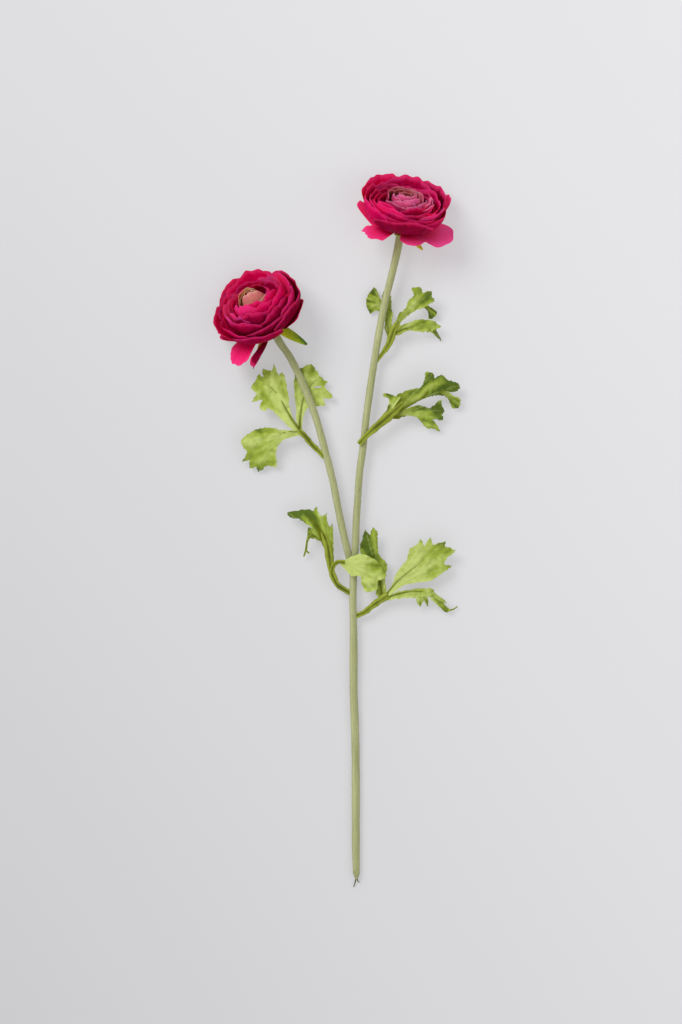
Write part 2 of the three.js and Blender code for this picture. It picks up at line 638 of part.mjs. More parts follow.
// The green cup under a bloom with its five sepals.
function calyx(bloom, place) {
  const lip = [CALYX_RADIUS - 0.2, CALYX_TOP];
  const cup = [[0, CLEARANCE], [COLLAR_RADIUS, CLEARANCE], [CALYX_RADIUS, 1.4], lip, [0, CALYX_TOP]];
  return fuse([turned(cup, place), ...bloom.sepals.map((numbers) => sepal(place, ...numbers))]);
}

// Both branches as one solid, grown all round by extra.
function branches(extra) {
  const low = Array(7).fill(STEM_RADIUS);
  const high = Array(12).fill(BRANCH_RADIUS);
  const main = [STEM_FOOT_RADIUS, ...low, ...high, COLLAR_RADIUS];
  const side = [FORK_RADIUS, ...Array(9).fill(BRANCH_RADIUS), COLLAR_RADIUS];
  const grown = (halfWidths) => halfWidths.map((r) => r + extra);
  return fuse([rod(MAIN_ROUTE, grown(main), 8, 24), rod(SIDE_ROUTE, grown(side), 8, 14)]);
}

const finishes = {
  stem: new THREE.MeshStandardMaterial({ color: "#a5ae74", roughness: 0.8, metalness: 0 }),
  leaf: new THREE.MeshStandardMaterial({ color: "#93ab45", roughness: 0.65, metalness: 0 }),
  sepal: new THREE.MeshStandardMaterial({ color: "#9aa826", roughness: 0.6, metalness: 0 }),
  crimson: new THREE.MeshStandardMaterial({ color: "#b4083f", roughness: 0.6, metalness: 0 }),
  heart: new THREE.MeshStandardMaterial({ color: "#c8688a", roughness: 0.6, metalness: 0 }),
};

const spray = new THREE.Group();
const neck = rod(TORN_END.neck, [2.3, 2.1, 0.6], 6, 3);
const strands = TORN_END.strands.map((route) => rod(route, [0.5, 0.4, 0.25], 4, 3));
spray.add(toMesh("stem", fuse([branches(0), neck, ...strands]), finishes.stem));

// Leaves and calyces are cut back from the stem that carries them.
const aroundStem = branches(CLEARANCE);
for (const [name, { stalks, blades }] of Object.entries(LEAVES)) {
  const stalkRods = stalks.map(({ route, halfWidths }) =>
    rod(route, halfWidths, 5, route.length, STALK_FLATNESS),
  );
  const whole = fuse([...stalkRods, ...blades.map(leafBlade)]);
  spray.add(toMesh(name, mainBody(whole.subtract(aroundStem)), finishes.leaf));
}

// The lowest petals are pressed flat where the bloom lies on the surface.
const surface = toSolid(new THREE.BoxGeometry(SURFACE_SIZE, SURFACE_SIZE, 20).translate(0, 0, -10));
for (const [name, bloom] of Object.entries(BLOOMS)) {
  const place = bloomFrame(bloom);
  const greens = mainBody(calyx(bloom, place).subtract(aroundStem));
  const crimsons = mainBody(crimsonPetals(bloom, place).subtract(surface));
  spray.add(
    toMesh(name + "_calyx", greens, finishes.sepal),
    toMesh(name + "_petals", crimsons, finishes.crimson),
    toMesh(name + "_heart", heartPetals(bloom, place), finishes.heart),
  );
}

export default spray;
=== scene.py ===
# Persian buttercup, cut and laid down on a table: one forked stem with two double crimson blooms and five
# cut leaves. The pieces are shaped in millimetres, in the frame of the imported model, and brought to metres
# when they are done. +Y runs from the cut end to the blooms and +Z is up.
import math

import bpy
from mathutils import Matrix, Vector, noise


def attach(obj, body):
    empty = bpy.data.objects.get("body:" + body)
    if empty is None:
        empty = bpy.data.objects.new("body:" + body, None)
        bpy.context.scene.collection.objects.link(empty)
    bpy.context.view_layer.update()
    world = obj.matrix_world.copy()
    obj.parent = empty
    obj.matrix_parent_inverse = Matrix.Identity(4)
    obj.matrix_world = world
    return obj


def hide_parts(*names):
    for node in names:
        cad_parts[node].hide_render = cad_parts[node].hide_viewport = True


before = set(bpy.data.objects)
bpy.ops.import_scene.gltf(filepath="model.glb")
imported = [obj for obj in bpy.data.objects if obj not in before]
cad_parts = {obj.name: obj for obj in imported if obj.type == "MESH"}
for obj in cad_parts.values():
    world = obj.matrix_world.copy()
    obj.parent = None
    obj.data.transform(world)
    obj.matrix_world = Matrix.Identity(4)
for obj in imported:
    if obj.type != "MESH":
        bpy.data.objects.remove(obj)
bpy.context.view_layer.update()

MM = 0.001

# Sizes that the frame's solids have too
STEM_RADIUS = 2.6
STEM_FOOT_RADIUS = 2.2
BRANCH_RADIUS = 2.3
FORK_RADIUS = 1.6
COLLAR_RADIUS = 3.4
CLEARANCE = 0.3
LEAF_FOOT = 1.3
STALK_FLATNESS = 0.7
SEPAL_FOOT = 2.4  # how far from the bloom's axis a sepal starts
SEPAL_HALF_WIDTH = 3.4
CALYX_RADIUS = 4.6
CALYX_TOP = 3
CORE_RADIUS = 7.8
CORE_TOP = 13
HEART_CORE_RADIUS = 4.8
RING_FOOT = 4.9
RINGS_RISE = 7  # from the roots of the outermost crimson ring to those of the innermost
RING_TURN = 0.382
HEART_BASE = CORE_TOP + CLEARANCE
HEART_FOOT = 1.6

# Sizes of the finer pieces
PETAL_THICKNESS = 0.36
LEAF_THICKNESS = 0.45
LEAF_CELL = 0.7  # the squares that a leaf blade is cut into
VEIN_DEPTH = 0.35
FOLD_DEPTH = 0.5
COLLAR_WAIST = 2.7  # the stem just under the cup of a bloom
NECK_RADII = [1.9, 2.28, 2.3, 1.7, 0.6]
STRAND_RADII = [0.5, 0.4, 0.25]
HAIR_RADIUS = 0.06
HAIR_LENGTHS = (0.5, 1)
SMOOTH_ANGLE = 70  # edges bent by less than this many degrees are shaded smooth

# How many there are of each thing. A grid is the faces of a sheet, across and along.
CRIMSON_PETALS = 5  # in each ring
DOWN_HAIRS = 5200
CRIMSON_GRID = (18, 7)
GUARD_GRID = (20, 10)
HEART_GRID = (18, 9)
SEPAL_GRID = (8, 12)
STEM_SIDES = 72
NECK_SIDES = 36
STALK_SIDES = 32
STRAND_SIDES = 12
TURNED_SIDES = 32
HEART_CORE_SIDES = 24
RIM_STEPS = 6  # from one corner of a leaf's rim to the next
LINE_STEPS = 12  # along a vein or a fold

# How far a crimson petal strays from the rule of its ring
STRAY_AZIMUTH = 6
STRAY_HALF_ANGLE = 4
STRAY_RIM_RADIUS = 0.6
STRAY_RIM_HEIGHT = 0.9
STRAY_TONE = 0.2

# The fine teeth of a petal's rim, as (depth, waves), and the one split in it. Depths are shares of the
# petal's length, and the split's width is a share of the petal's half width.
RIM_WAVES = [(0.010, 14), (0.009, 29), (0.010, 43)]
SPLIT_DEPTH = 0.04
SPLIT_WIDTH = 0.09

# The camera looks straight down. Its place and the lights' are in metres.
CAMERA_PLACE = (0.00156, 0.01274, 1.6)
CAMERA_LENS = 86.8
SENSOR_WIDTH = 36
LIGHTS = [  # name, place, size and power
    ("key", (-0.7, 0.75, 1.1), 0.8, 13),
    ("fill", (0.9, -0.2, 1.1), 1.2, 4),
    ("low", (-0.3, -0.9, 1.1), 1.4, 3),
]
LIGHTS_AIM = (0, 0.08, 0)
WORLD_LIGHT = 0.5
TABLE_SIZE = 6
TABLE_GLOW = 0.5  # the table glows a little, so that the shadows on it stay faint

# Routes of the stem, from the cut end up, each point (x, y, z)
MAIN_ROUTE = [
    (11.5, -221, 2.35), (11.1, -199.5, 2.35), (11, -147.7, 2.35), (10.4, -121.8, 3.1), (9.7, -102.3, 3.5),
    (9.7, -76.4, 4.2), (9.5, -57, 4.8), (9.2, -44.1, 5.2), (9.5, -31.2, 5.6), (10.1, -19.5, 5.9),
    (10.9, -8.6, 6.1), (11.4, 6.3, 6.3), (12.3, 20.5, 6.5), (13.6, 38.6, 6.7), (15.6, 52.7, 6.8),
    (17.7, 72.1, 7), (20.3, 91.5, 7), (23.2, 110.8, 7.2), (25.9, 126.9, 7.4), (28.8, 142.9, 8),
    (31.8, 155.7, 9), (35.3, 169.6, 10.9), (38.1, 182.1, 13.3), (39.7, 191.4, 15.6),
]
SIDE_ROUTE = [
    (9.5, -33.5, 5.6), (8.1, -22.1, 6), (5.6, -11.8, 6.4), (2.6, 1.1, 6.8), (-0.1, 14, 7),
    (-3.9, 33.4, 7.2), (-8.8, 52.7, 7.2), (-14.2, 72.1, 7.2), (-20.4, 89.5, 7.2), (-26.5, 103, 7.3),
    (-31.3, 112.6, 7.8), (-37.1, 120.9, 8.8), (-41.2, 127.8, 10.1), (-43.4, 131.6, 11.3),
]
FORK_SHARE = 0.45  # of the main stem's length, where it becomes as thin as a branch
NECK_ROUTE = [(11.4, -216.5, 2.5), (11.5, -221.5, 2.4), (11.5, -225, 2)]
STRAND_ROUTES = [
    [(11.5, -223.5, 2.2), (10.6, -227.5, 1.4), (9.7, -230.2, 0.6)],
    [(11.5, -223.5, 2.2), (12.6, -226.3, 1.8), (13.5, -227, 1.5)],
]

# Each bloom: the foot at the end of its branch, the way it faces, its size and the seed of its draws.
# bellies are the radii at the bellies of its outermost and innermost crimson rings. ragged is how deep the
# teeth of its rims are on the side that faces the table and on the side that faces up. front and back are
# the (rim radius, rim height) of each ring, from the outermost in, on the side that faces up and on the side
# that faces the table. ring_start is the azimuth of the first petal. tall and flared say where petals stand
# higher and turn out, and the last of these tables says where petals have painted light on them, each as
# (azimuth, spread, first ring, last ring, amount), and an amount below nought does the opposite, painting
# shade. Guard petals are (azimuth, half angle, rounding, reach, tip height, twist, teeth, sway, tone), and a
# guard's tone is partly painted light, raised on guards that lie in the bloom's shade. Heart petals are
# (azimuth, half angle, belly radius, rim radius, rim height, tone), and all of them stand aside by
# heart_shift. Sepals are (azimuth, reach, tip height, width share, darkness of the tip).
BLOOMS = {
    "upper": {
        "foot": MAIN_ROUTE[-1],
        "facing": (0.12, 0.875, 0.47),
        "size": 1,
        "seed": 1,
        "bellies": (25.4, 16),
        "ragged": (1.5, 0.4),
        "front": [(26, 17.6), (24.6, 18), (22.3, 21.8), (20.6, 21.6), (18.6, 20.4), (16.8, 20), (15.2, 24)],
        "back": [(28, 31.5), (26, 30.6), (22, 26.2), (20.8, 25.5), (18.5, 24.2), (16.5, 23.4), (15, 22.6)],
        "ring_start": 56,
        "tall": [
            (105, 25, 0, 1, 1), (350, 32, 0, 1, -2.5), (350, 32, 2, 3, -1.5), (350, 26, 5, 6, 1),
            (232, 26, 3, 4, 2.2), (50, 24, 0, 1, -1.5), (270, 30, 0, 0, 1.8),
        ],
        "flared": [(345, 34, 2, 6, 2.4), (200, 25, 2, 4, 1), (180, 34, 0, 1, -2.4), (270, 30, 0, 0, 3.2)],
        "painted_light": [
            (350, 32, 2, 6, 1.5), (275, 30, 3, 6, -0.6), (266, 40, 0, 2, -0.4), (110, 40, 0, 1, 0.05),
            (50, 30, 0, 1, -0.5), (90, 70, 2, 6, -0.45), (190, 40, 0, 1, 0.25), (190, 40, 2, 6, 0.5),
            (310, 24, 1, 2, 0.5), (235, 22, 3, 4, 0.3),
        ],
        "guards": [
            (352, 31, 0.26, 34.5, 3, 3, 0.1, 0, 1.2), (297, 31, 0.26, 22, 1, 0, 0.5, 0, 0.9),
            (206, 34, 0.26, 26.5, 1, 0, 2.4, 0, 0.8), (171, 14, 0.45, 29.4, 16.5, -3.5, 0.3, 0, 0.8),
            (27, 14, 0.45, 32.5, 24.5, 3, 0.4, 0, 0.8),
        ],
        "heart_shift": (0, 0, 0),
        "heart": [
            (100, 56, 13, 11.8, 27.4, 0.3), (222, 48, 13, 11.8, 23.6, 0.1), (325, 54, 13.6, 13, 24.6, 0.9),
            (30, 50, 12, 11.6, 26.6, 1), (150, 50, 11.2, 10.6, 26.6, 0.1),
            (262, 44, 11.4, 10.2, 25.8, 0.75), (305, 48, 9.8, 8.6, 27.2, 1.1), (95, 58, 9, 7.8, 27.6, 0.2),
            (205, 46, 9.2, 8, 27, 0.5),
            (350, 52, 7.8, 6.2, 28.4, 0.8), (252, 60, 7, 4.6, 28, 0.95), (70, 60, 6, 4.8, 26.8, 0.3),
            (170, 60, 5, 3.4, 27.4, 0.6), (350, 26, 15.4, 15.8, 25.4, 1.8), (8, 20, 16.8, 17.8, 25.2, 1.8),
            (334, 20, 17.2, 18.2, 23.8, 1.8),
        ],
        "sepals": [
            (329, 17.5, -6, 1.1, 0.15), (40, 13, 1, 1, 0.15), (112, 13, 1, 1, 0.15), (184, 13, 1, 1, 0.15),
            (256, 8, 1.5, 1, 0.15),
        ],
    },
    "side": {
        "foot": SIDE_ROUTE[-1],
        "facing": (-0.422, 0.644, 0.638),
        "size": 1.06,
        "seed": 2,
        "bellies": (26, 14.5),
        "ragged": (1.9, 0.85),
        "front": [(26, 16), (24, 19.2), (19.8, 24.4), (16.2, 28), (14.4, 28.4), (11, 28.6), (9.4, 28.2)],
        "back": [(25, 27.6), (23.8, 27.4), (20.6, 26), (19.4, 25.8), (15.6, 24.6), (14, 24.2), (12, 24)],
        "ring_start": -32,
        "tall": [
            (112, 20, 0, 0, 0.8), (139, 20, 1, 1, -2), (67, 16, 1, 1, -6.5), (40, 20, 0, 0, -4.5),
            (110, 40, 2, 4, -1), (184, 20, 0, 0, 2.5), (300, 60, 5, 6, 1.8), (232, 30, 5, 6, 3),
            (50, 40, 6, 6, 2), (94, 12, 2, 2, 6.5),
        ],
        "flared": [
            (184, 24, 0, 0, 1.6), (20, 30, 2, 5, 2), (40, 24, 0, 0, 2.2), (205, 30, 3, 5, 1.2),
            (50, 40, 6, 6, -3), (139, 24, 1, 1, 1.5),
        ],
        "painted_light": [
            (190, 40, 1, 6, 0.4), (228, 28, 4, 6, 1.1), (340, 50, 0, 2, -0.45), (18, 22, 2, 4, 0.9),
            (260, 40, 2, 4, -0.4), (270, 50, 0, 1, -0.5), (85, 20, 1, 3, 0.6), (300, 30, 4, 6, 0.45),
            (40, 30, 0, 1, -0.6), (152, 14, 4, 4, 1.2), (195, 14, 3, 3, 1.1), (355, 12, 1, 1, 1),
            (52, 12, 3, 3, 0.9),
        ],
        "guards": [
            (214, 23, 0.26, 32.5, -2, 0, 1.8, 0, 0.7), (276, 7.5, 0.26, 30, -3, 0, 1, -31, -0.3),
            (187, 23, 0.26, 31, 12, 0, 1, 0, -0.2), (342, 32, 0.26, 28.4, 12, 0, 0.5, 0, -0.2),
        ],
        "heart_shift": (-0.8, 2.6, 1),
        "heart": [
            (136, 50, 9, 8.4, 25.6, 0.95), (206, 50, 9.6, 8.6, 23.4, 0.6), (325, 60, 10, 9, 24, 0.7),
            (128, 54, 7.8, 7.2, 25, 0.1), (92, 86, 6.8, 1.4, 27.8, 0.5), (272, 88, 8.8, 1.6, 28.6, 0.75),
            (182, 120, 5.8, 0.3, 27.4, 0.9), (2, 120, 5.2, 0.3, 27, 0.9),
        ],
        "sepals": [
            (322, 25, -10, 1, 1.1), (35, 13, 1, 1, 0.15), (107, 13, 1, 1, 0.15), (181, 26, -3, 1, 1.1),
            (232, 26.5, -9.5, 0.4, 1.1),
        ],
    },
}

# How olive a leaf is near the bases of its blades, and how dark each blade is, from 0 for the palest
# young green to 1. A blade's darkness is partly its own green and partly painted shade on hanging and
# folded blades and on those that lie in shadow.
LEAF_OLIVE = {
    "leaf_side_branch": 0.35, "leaf_upper": 0.9, "leaf_middle": 0.95, "leaf_fork": 0.8, "leaf_lowest": 0.3,
}
LEAF_SHADES = {
    "leaf_side_branch": [0.25, 0.2, 0.35],
    "leaf_upper": [0.6, 0.45, 0.4, 0.45, 0.8, 0.8],
    "leaf_middle": [0.3, 0.7, 0.6, 0.7],
    "leaf_fork": [0.75, 0.7, 0.15],
    "leaf_lowest": [0.7, 0.15, 0.3, 0.5, 0.4],
}

# Dark folds on the blades of a leaf, by leaf and blade: a half width where it starts, and three points
LEAF_CREASES = {
    ("leaf_side_branch", 0): [
        (2, (-24.5, 65.5), (-30, 72.5), (-36.5, 84)), (0.5, (-40, 89.5), (-42.5, 92), (-45.5, 95)),
    ],
    ("leaf_side_branch", 1): [
        (1.9, (-24.8, 65), (-24.6, 75), (-22.5, 87)), (0.7, (-20, 92), (-15, 97.5), (-10.5, 101)),
    ],
    ("leaf_side_branch", 2): [(0.9, (-24, 63.5), (-29, 64.5), (-38, 63))],
    ("leaf_upper", 1): [(4, (28, 114), (29.5, 124), (29, 136))],
    ("leaf_upper", 2): [(3.4, (33, 124), (38, 131), (46, 139))],
    ("leaf_upper", 3): [(3.4, (31, 122), (37, 128), (44, 131))],
    ("leaf_middle", 0): [(5, (24, 70), (30, 77), (33, 81))],
    ("leaf_middle", 1): [(4.5, (27, 70), (38, 77), (53, 85)), (2, (52, 84), (56, 88), (58, 91))],
    ("leaf_middle", 3): [(4, (30, 71), (40, 74), (47, 72)), (3, (47, 71), (51, 71), (54, 67))],
    ("leaf_fork", 0): [(3.2, (-10.5, -7), (-13, 2), (-18, 8))],
    ("leaf_lowest", 0): [(3, (28, -43), (26.5, -30), (22, -16))],
    ("leaf_lowest", 1): [(1.2, (30, -42), (38, -32), (50, -22))],
    ("leaf_lowest", 2): [(1.3, (31, -43), (42, -39), (54, -38.5))],
}
# Holes in a blade: (x, y, half width, half height)
LEAF_HOLES = {("leaf_side_branch", 1): [(-13.3, 93.6, 2.3, 0.8)]}

# Each leaf: its stalks, each a route with half widths along it, and its blades. A blade is its base, the
# point that its veins bend towards, and the points of its toothed rim from one side of the base to the
# other.
LEAVES = {
    "leaf_side_branch": {
        "stalks": [
            ([
                (-9, 48, 7.5), (-13.5, 52.5, 8), (-18, 57, 9), (-21.5, 61.5, 9.5), (-25.5, 65.5, 9.5),
            ], [1.5, 1.7, 1.8, 1.8]),
        ],
        "blades": [
            ((-25.5, 65, 9.5), (-37, 83, 12), [
                (-32.5, 68, 9), (-39, 74.5, 9.5), (-45, 79.5, 10), (-47.5, 77.5, 9), (-51, 80, 9),
                (-49, 85, 11), (-56, 83.5, 9.5), (-52.5, 89, 11.5), (-56.5, 92.5, 11),
                (-53.5, 97, 12.5), (-51, 101.5, 12.5), (-48, 99.5, 12.5), (-49, 105, 13),
                (-43, 103.5, 12), (-41.5, 108, 13), (-38.5, 100, 12), (-36.5, 103, 11), (-34, 97, 10.5),
                (-32.5, 88.5, 9.5), (-31.5, 80, 9), (-29.5, 73.5, 9),
            ]),
            ((-25, 65.5, 9), (-25.5, 82.5, 1.5), [
                (-27.5, 73.5, 7.5), (-28, 84, 5.5), (-29, 95.5, 4.5), (-27.5, 103.5, 3.5),
                (-19, 108, 5), (-16, 106.5, 5), (-13, 102, 5.5), (-9.5, 98, 6), (-7, 96.5, 6.5),
                (-9, 94.5, 5.5), (-7.5, 91.5, 5.5), (-4, 88, 6.5), (-5, 86, 6), (-10.5, 85.5, 4.5),
                (-8.5, 82, 4.5), (-14.5, 81, 3.5), (-20.5, 79.5, 4), (-23, 74, 6.5),
            ]),
            ((-24, 63.5, 9.5), (-44, 61.5, 14), [
                (-30, 65.5, 10.5), (-37, 65.5, 11.5), (-44, 67, 12), (-51, 66.5, 11.5),
                (-57, 63.5, 10.5), (-61.5, 60.5, 9), (-62.5, 56, 8), (-59, 51, 7.5), (-62.5, 45, 5),
                (-57.5, 46.5, 6.5), (-57.5, 41, 4), (-53, 42, 5), (-52, 38.5, 3.5), (-45.5, 43, 5),
                (-40, 41.5, 4.5), (-40.5, 49.5, 7.5), (-39, 55.5, 9), (-34, 60, 9.5),
                (-28.5, 61.5, 9.5),
            ]),
        ],
    },
    "leaf_upper": {
        "stalks": [
            ([
                (24, 109.5, 7), (28.5, 115.5, 7.5), (32, 120.5, 8), (34, 125.5, 8.5), (35.5, 130, 9),
                (38.5, 135, 9.5),
            ], [1.2, 1.4, 2.2, 2.4, 1.6]),
        ],
        "blades": [
            ((33, 125, 8), (32, 138, 3), [
                (29.5, 131.5, 6), (29.5, 142, 3), (28, 150, 2.5), (29, 155.5, 2.5), (31.5, 151, 2.5),
                (34, 152.5, 4), (34, 146.5, 5), (35, 140.5, 6.5),
            ]),
            ((31.5, 147.5, 3), (25.5, 147, 4), [
                (27, 143, 3), (23, 142.5, 3), (20.5, 141, 3), (18, 146, 4), (18.5, 151.5, 4.5),
                (20, 154.5, 4.5), (23, 158, 4), (25.5, 154.5, 3.5), (27.5, 150, 3),
            ]),
            ((36.5, 132, 9), (46, 143.5, 12), [
                (39, 141, 9.5), (43.5, 144, 12.5), (45, 149, 14), (48.5, 151.5, 15), (47, 156.5, 15),
                (52.5, 157, 15), (54.5, 153.5, 13.5), (59.5, 155, 13), (60, 151, 11.5), (62, 148.5, 10),
                (58, 146.5, 10), (55, 144, 9.5), (50, 143, 9.5), (45.5, 139.5, 9), (41, 136, 8.5),
            ]),
            ((35.5, 128, 9), (48, 133.5, 13.5), [
                (39, 133, 10), (45.5, 134.5, 12), (52.5, 136.5, 12.5), (59.5, 136, 11), (66, 132.5, 8),
                (63, 131, 7.5), (59.5, 129, 6.5), (52, 129, 9), (44.5, 129.5, 10.5), (39, 126.5, 9.5),
            ]),
            ((58, 132, 9.5), (62, 130, 7), [
                (63, 131, 7.5), (64.5, 127.5, 5), (66.5, 123.5, 2.5), (63.5, 126, 4.5),
                (59.5, 129, 6.5),
            ]),
            ((55, 146, 10), (59, 144.5, 8), [
                (57.5, 142.5, 6.5), (58.5, 137.5, 3.5), (61, 138, 3.5), (63.5, 141.5, 4.5),
                (61.5, 143.5, 6), (59, 145, 8),
            ]),
        ],
    },
    "leaf_middle": {
        "stalks": [
            ([
                (13, 56.5, 10.5), (17.5, 61.5, 11), (24, 67.5, 10.5), (30.5, 73, 10.5),
                (36.5, 78.5, 11), (42, 83.5, 12),
            ], [1.5, 1.9, 2.5, 3, 3.2, 1.5]),
        ],
        "blades": [
            ((31.5, 74.5, 11), (35, 83, 13), [
                (30, 76, 10.5), (31.5, 80.5, 12), (32.5, 85.5, 14), (29, 86.5, 15), (29.5, 89, 15.5),
                (34.5, 88, 15), (40, 86.5, 13.5),
            ]),
            ((30.5, 72.5, 10.5), (47, 86.5, 14.5), [
                (38, 88.5, 13), (45, 91, 14.5), (52.5, 92.5, 15), (55, 97, 15.5), (56, 102.5, 16),
                (60.5, 102, 14.5), (62, 98.5, 13), (66, 101, 13), (70.5, 97.5, 11.5), (75, 96.5, 10.5),
                (78, 94.5, 9.5), (76.5, 90.5, 9), (71, 90, 10), (68.5, 87.5, 10), (64, 88, 11.5),
                (59, 87, 12), (52.5, 84.5, 12.5), (47, 81.5, 12),
            ]),
            ((66, 90.5, 12), (71.5, 90, 10.5), [
                (71, 90.5, 10), (74, 87.5, 8), (78.5, 85.5, 6), (78, 81, 5), (74.5, 79.5, 4.5),
                (72.5, 82, 5.5), (70.5, 86, 8.5), (66.5, 88.5, 11),
            ]),
            ((32, 74, 9.5), (48.5, 79, 12), [
                (47, 80.5, 12), (51.5, 81.5, 12.5), (59, 79.5, 11), (63.5, 83.5, 12.5), (66, 84.5, 13),
                (66.5, 80.5, 10.5), (68.5, 78, 7.5), (66.5, 75.5, 7), (67.5, 72, 6), (60, 72.5, 8),
                (63.5, 69, 5.5), (65.5, 65, 3.5), (61.5, 66.5, 4.5), (57, 67, 6), (54, 70, 8),
                (50, 74, 9.5), (44.5, 75, 10.5), (38.5, 72.5, 10),
            ]),
        ],
    },
    "leaf_fork": {
        "stalks": [
            ([
                (8, -40, 5.5), (4, -37.5, 6), (-0.5, -34.5, 7), (-3.5, -29, 7.5), (-5, -23.5, 8.5),
                (-6, -15, 9.5), (-7.5, -7, 10.5), (-10.5, 0, 11.5),
            ], [1.5, 1.8, 2, 2.1, 2.4, 2.8, 2.4, 1.2]),
            ([
                (-4.5, -26.5, 8), (-3.5, -22, 10.5), (-0.5, -19.5, 12.5), (4, -19.5, 13.5),
            ], [1.5, 1.5, 1.4, 1.4]),
            ([
                (-17, -1.5, 9.5), (-20, -5.5, 8), (-21, -11, 5.5), (-22.5, -16, 4),
            ], [0.8, 0.7, 0.7, 0.5]),
            ([
                (-21, -11.5, 5.5), (-20.3, -12.8, 5), (-19, -14, 4.5),
            ], [0.6, 0.5]),
        ],
        "blades": [
            ((-5.5, -19.5, 9), (-8.5, -2, 12), [
                (-8, -13, 9), (-11.5, -6, 9.5), (-16.5, 1.5, 10.5), (-22.5, 6.5, 11), (-26, 8.5, 10.5),
                (-30.5, 9, 9), (-33, 12.5, 8.5), (-19, 14.5, 13), (-16, 13.5, 13.5), (-14, 16.5, 14),
                (-12.5, 11, 13), (-9.5, 10.5, 13), (-7.5, 12, 13.5), (-7.5, 7, 12.5), (-5.5, 3, 12),
                (-4, 5.5, 12), (-3.5, -2, 11), (-3, -11.5, 10),
            ]),
            ((-10.5, -5.5, 10.5), (-15, -2, 10), [
                (-13.5, -5.5, 9), (-18, -4, 8), (-20.5, -6, 7), (-20, 0, 8.5), (-19, 3, 10),
                (-14.5, 1, 11),
            ]),
            ((1.5, -20, 13), (12.5, -22, 15), [
                (6.5, -17, 14), (13, -14, 14.5), (19, -15.5, 14.5), (24.5, -18.5, 14), (28, -24.5, 12),
                (31, -28, 10.5), (29, -30.5, 10), (25.5, -31.5, 10), (25, -37, 9), (20, -38.5, 9),
                (16.5, -38, 8.5), (14.5, -32.5, 10), (14, -28.5, 12), (8.5, -28.5, 13.5),
                (5, -25, 13.5),
            ]),
        ],
    },
    "leaf_lowest": {
        "stalks": [
            ([
                (10.5, -54.5, 5), (16.5, -52, 5.5), (21.5, -48, 6.5), (26.5, -44.5, 7), (32, -41, 7),
            ], [1.6, 1.8, 2, 2.3, 2.4]),
            ([
                (70, -50.3, 4), (73.5, -50.5, 2.5), (77, -48.5, 2),
            ], [0.6, 0.5, 0.4]),
        ],
        "blades": [
            ((28, -44.5, 7), (25, -26, 3), [
                (24, -40, 5.5), (25, -31, 4.5), (19, -22, 4.5), (14, -13, 6), (15, -6, 7.5),
                (17.5, 1.5, 9), (20, -2.5, 8), (22, 3, 8.5), (25, -0.5, 8), (25, -8.5, 7),
                (26, -14.5, 6.5), (30, -19, 7), (31.5, -23.5, 6), (30, -30, 5), (31, -37.5, 6),
            ]),
            ((30, -42, 7), (43, -28, 10.5), [
                (34, -35.5, 8), (37.5, -26.5, 10), (44, -18, 11), (46, -10.5, 11.5), (50, -9, 12),
                (52.5, -4.5, 12.5), (55.5, -9, 12), (59, -3.5, 12.5), (61, -8.5, 12), (69, -6, 11.5),
                (68.5, -9.5, 11), (75.5, -12, 8.5), (70, -16.5, 9), (68, -21, 9.5), (73, -22, 7.5),
                (67.5, -26, 8.5), (60, -31.5, 8.5), (51, -32.5, 9), (42, -34.5, 8.5), (37, -38, 8),
            ]),
            ((30, -43.5, 7), (47, -37, 12), [
                (38.5, -38, 9.5), (46, -37.5, 10.5), (53.5, -36.5, 11), (59.5, -36.5, 10.5),
                (62, -40, 9), (55.5, -41.5, 9), (50, -42.5, 8), (42, -42.5, 8.5), (34.5, -44, 7.5),
            ]),
            ((57, -39, 10.5), (63, -41.5, 8.5), [
                (62, -39, 9.5), (66, -42.5, 8), (70, -46, 6), (67, -45.5, 6.5), (72, -50.5, 3),
                (69.5, -52, 2.5), (64, -47.5, 5.5), (58.5, -42, 8.5),
            ]),
            ((52.5, -39, 10.5), (53, -42.5, 7.5), [
                (57, -41, 8.5), (58, -48.5, 5), (55, -44, 6.5), (53, -48.5, 5), (50.5, -45.5, 6),
                (49.5, -41.5, 8.5),
            ]),
        ],
    },
}

# The colours of the leaf and sepal finishes, as they look on a screen: where they are pale, green and dark,
# and in the veins, and how deep the veins lie, less than nought where they stand out. On the leaves, pale
# and dark follow a tone that holds painted light and shade.
LEAF_COLOURS = {
    "leaf_upper_side": ((186, 200, 112), (146, 164, 56), (84, 104, 28), (176, 192, 106), 0.8),
    "leaf_underside": ((176, 192, 122), (146, 168, 90), (108, 132, 62), (186, 198, 138), -0.8),
    "sepal_inner_side": ((206, 212, 40), (160, 180, 36), (58, 96, 34), (190, 205, 110), 0.6),
    "sepal_outer_side": ((204, 210, 52), (156, 174, 44), (66, 100, 40), (180, 192, 110), -0.6),
}
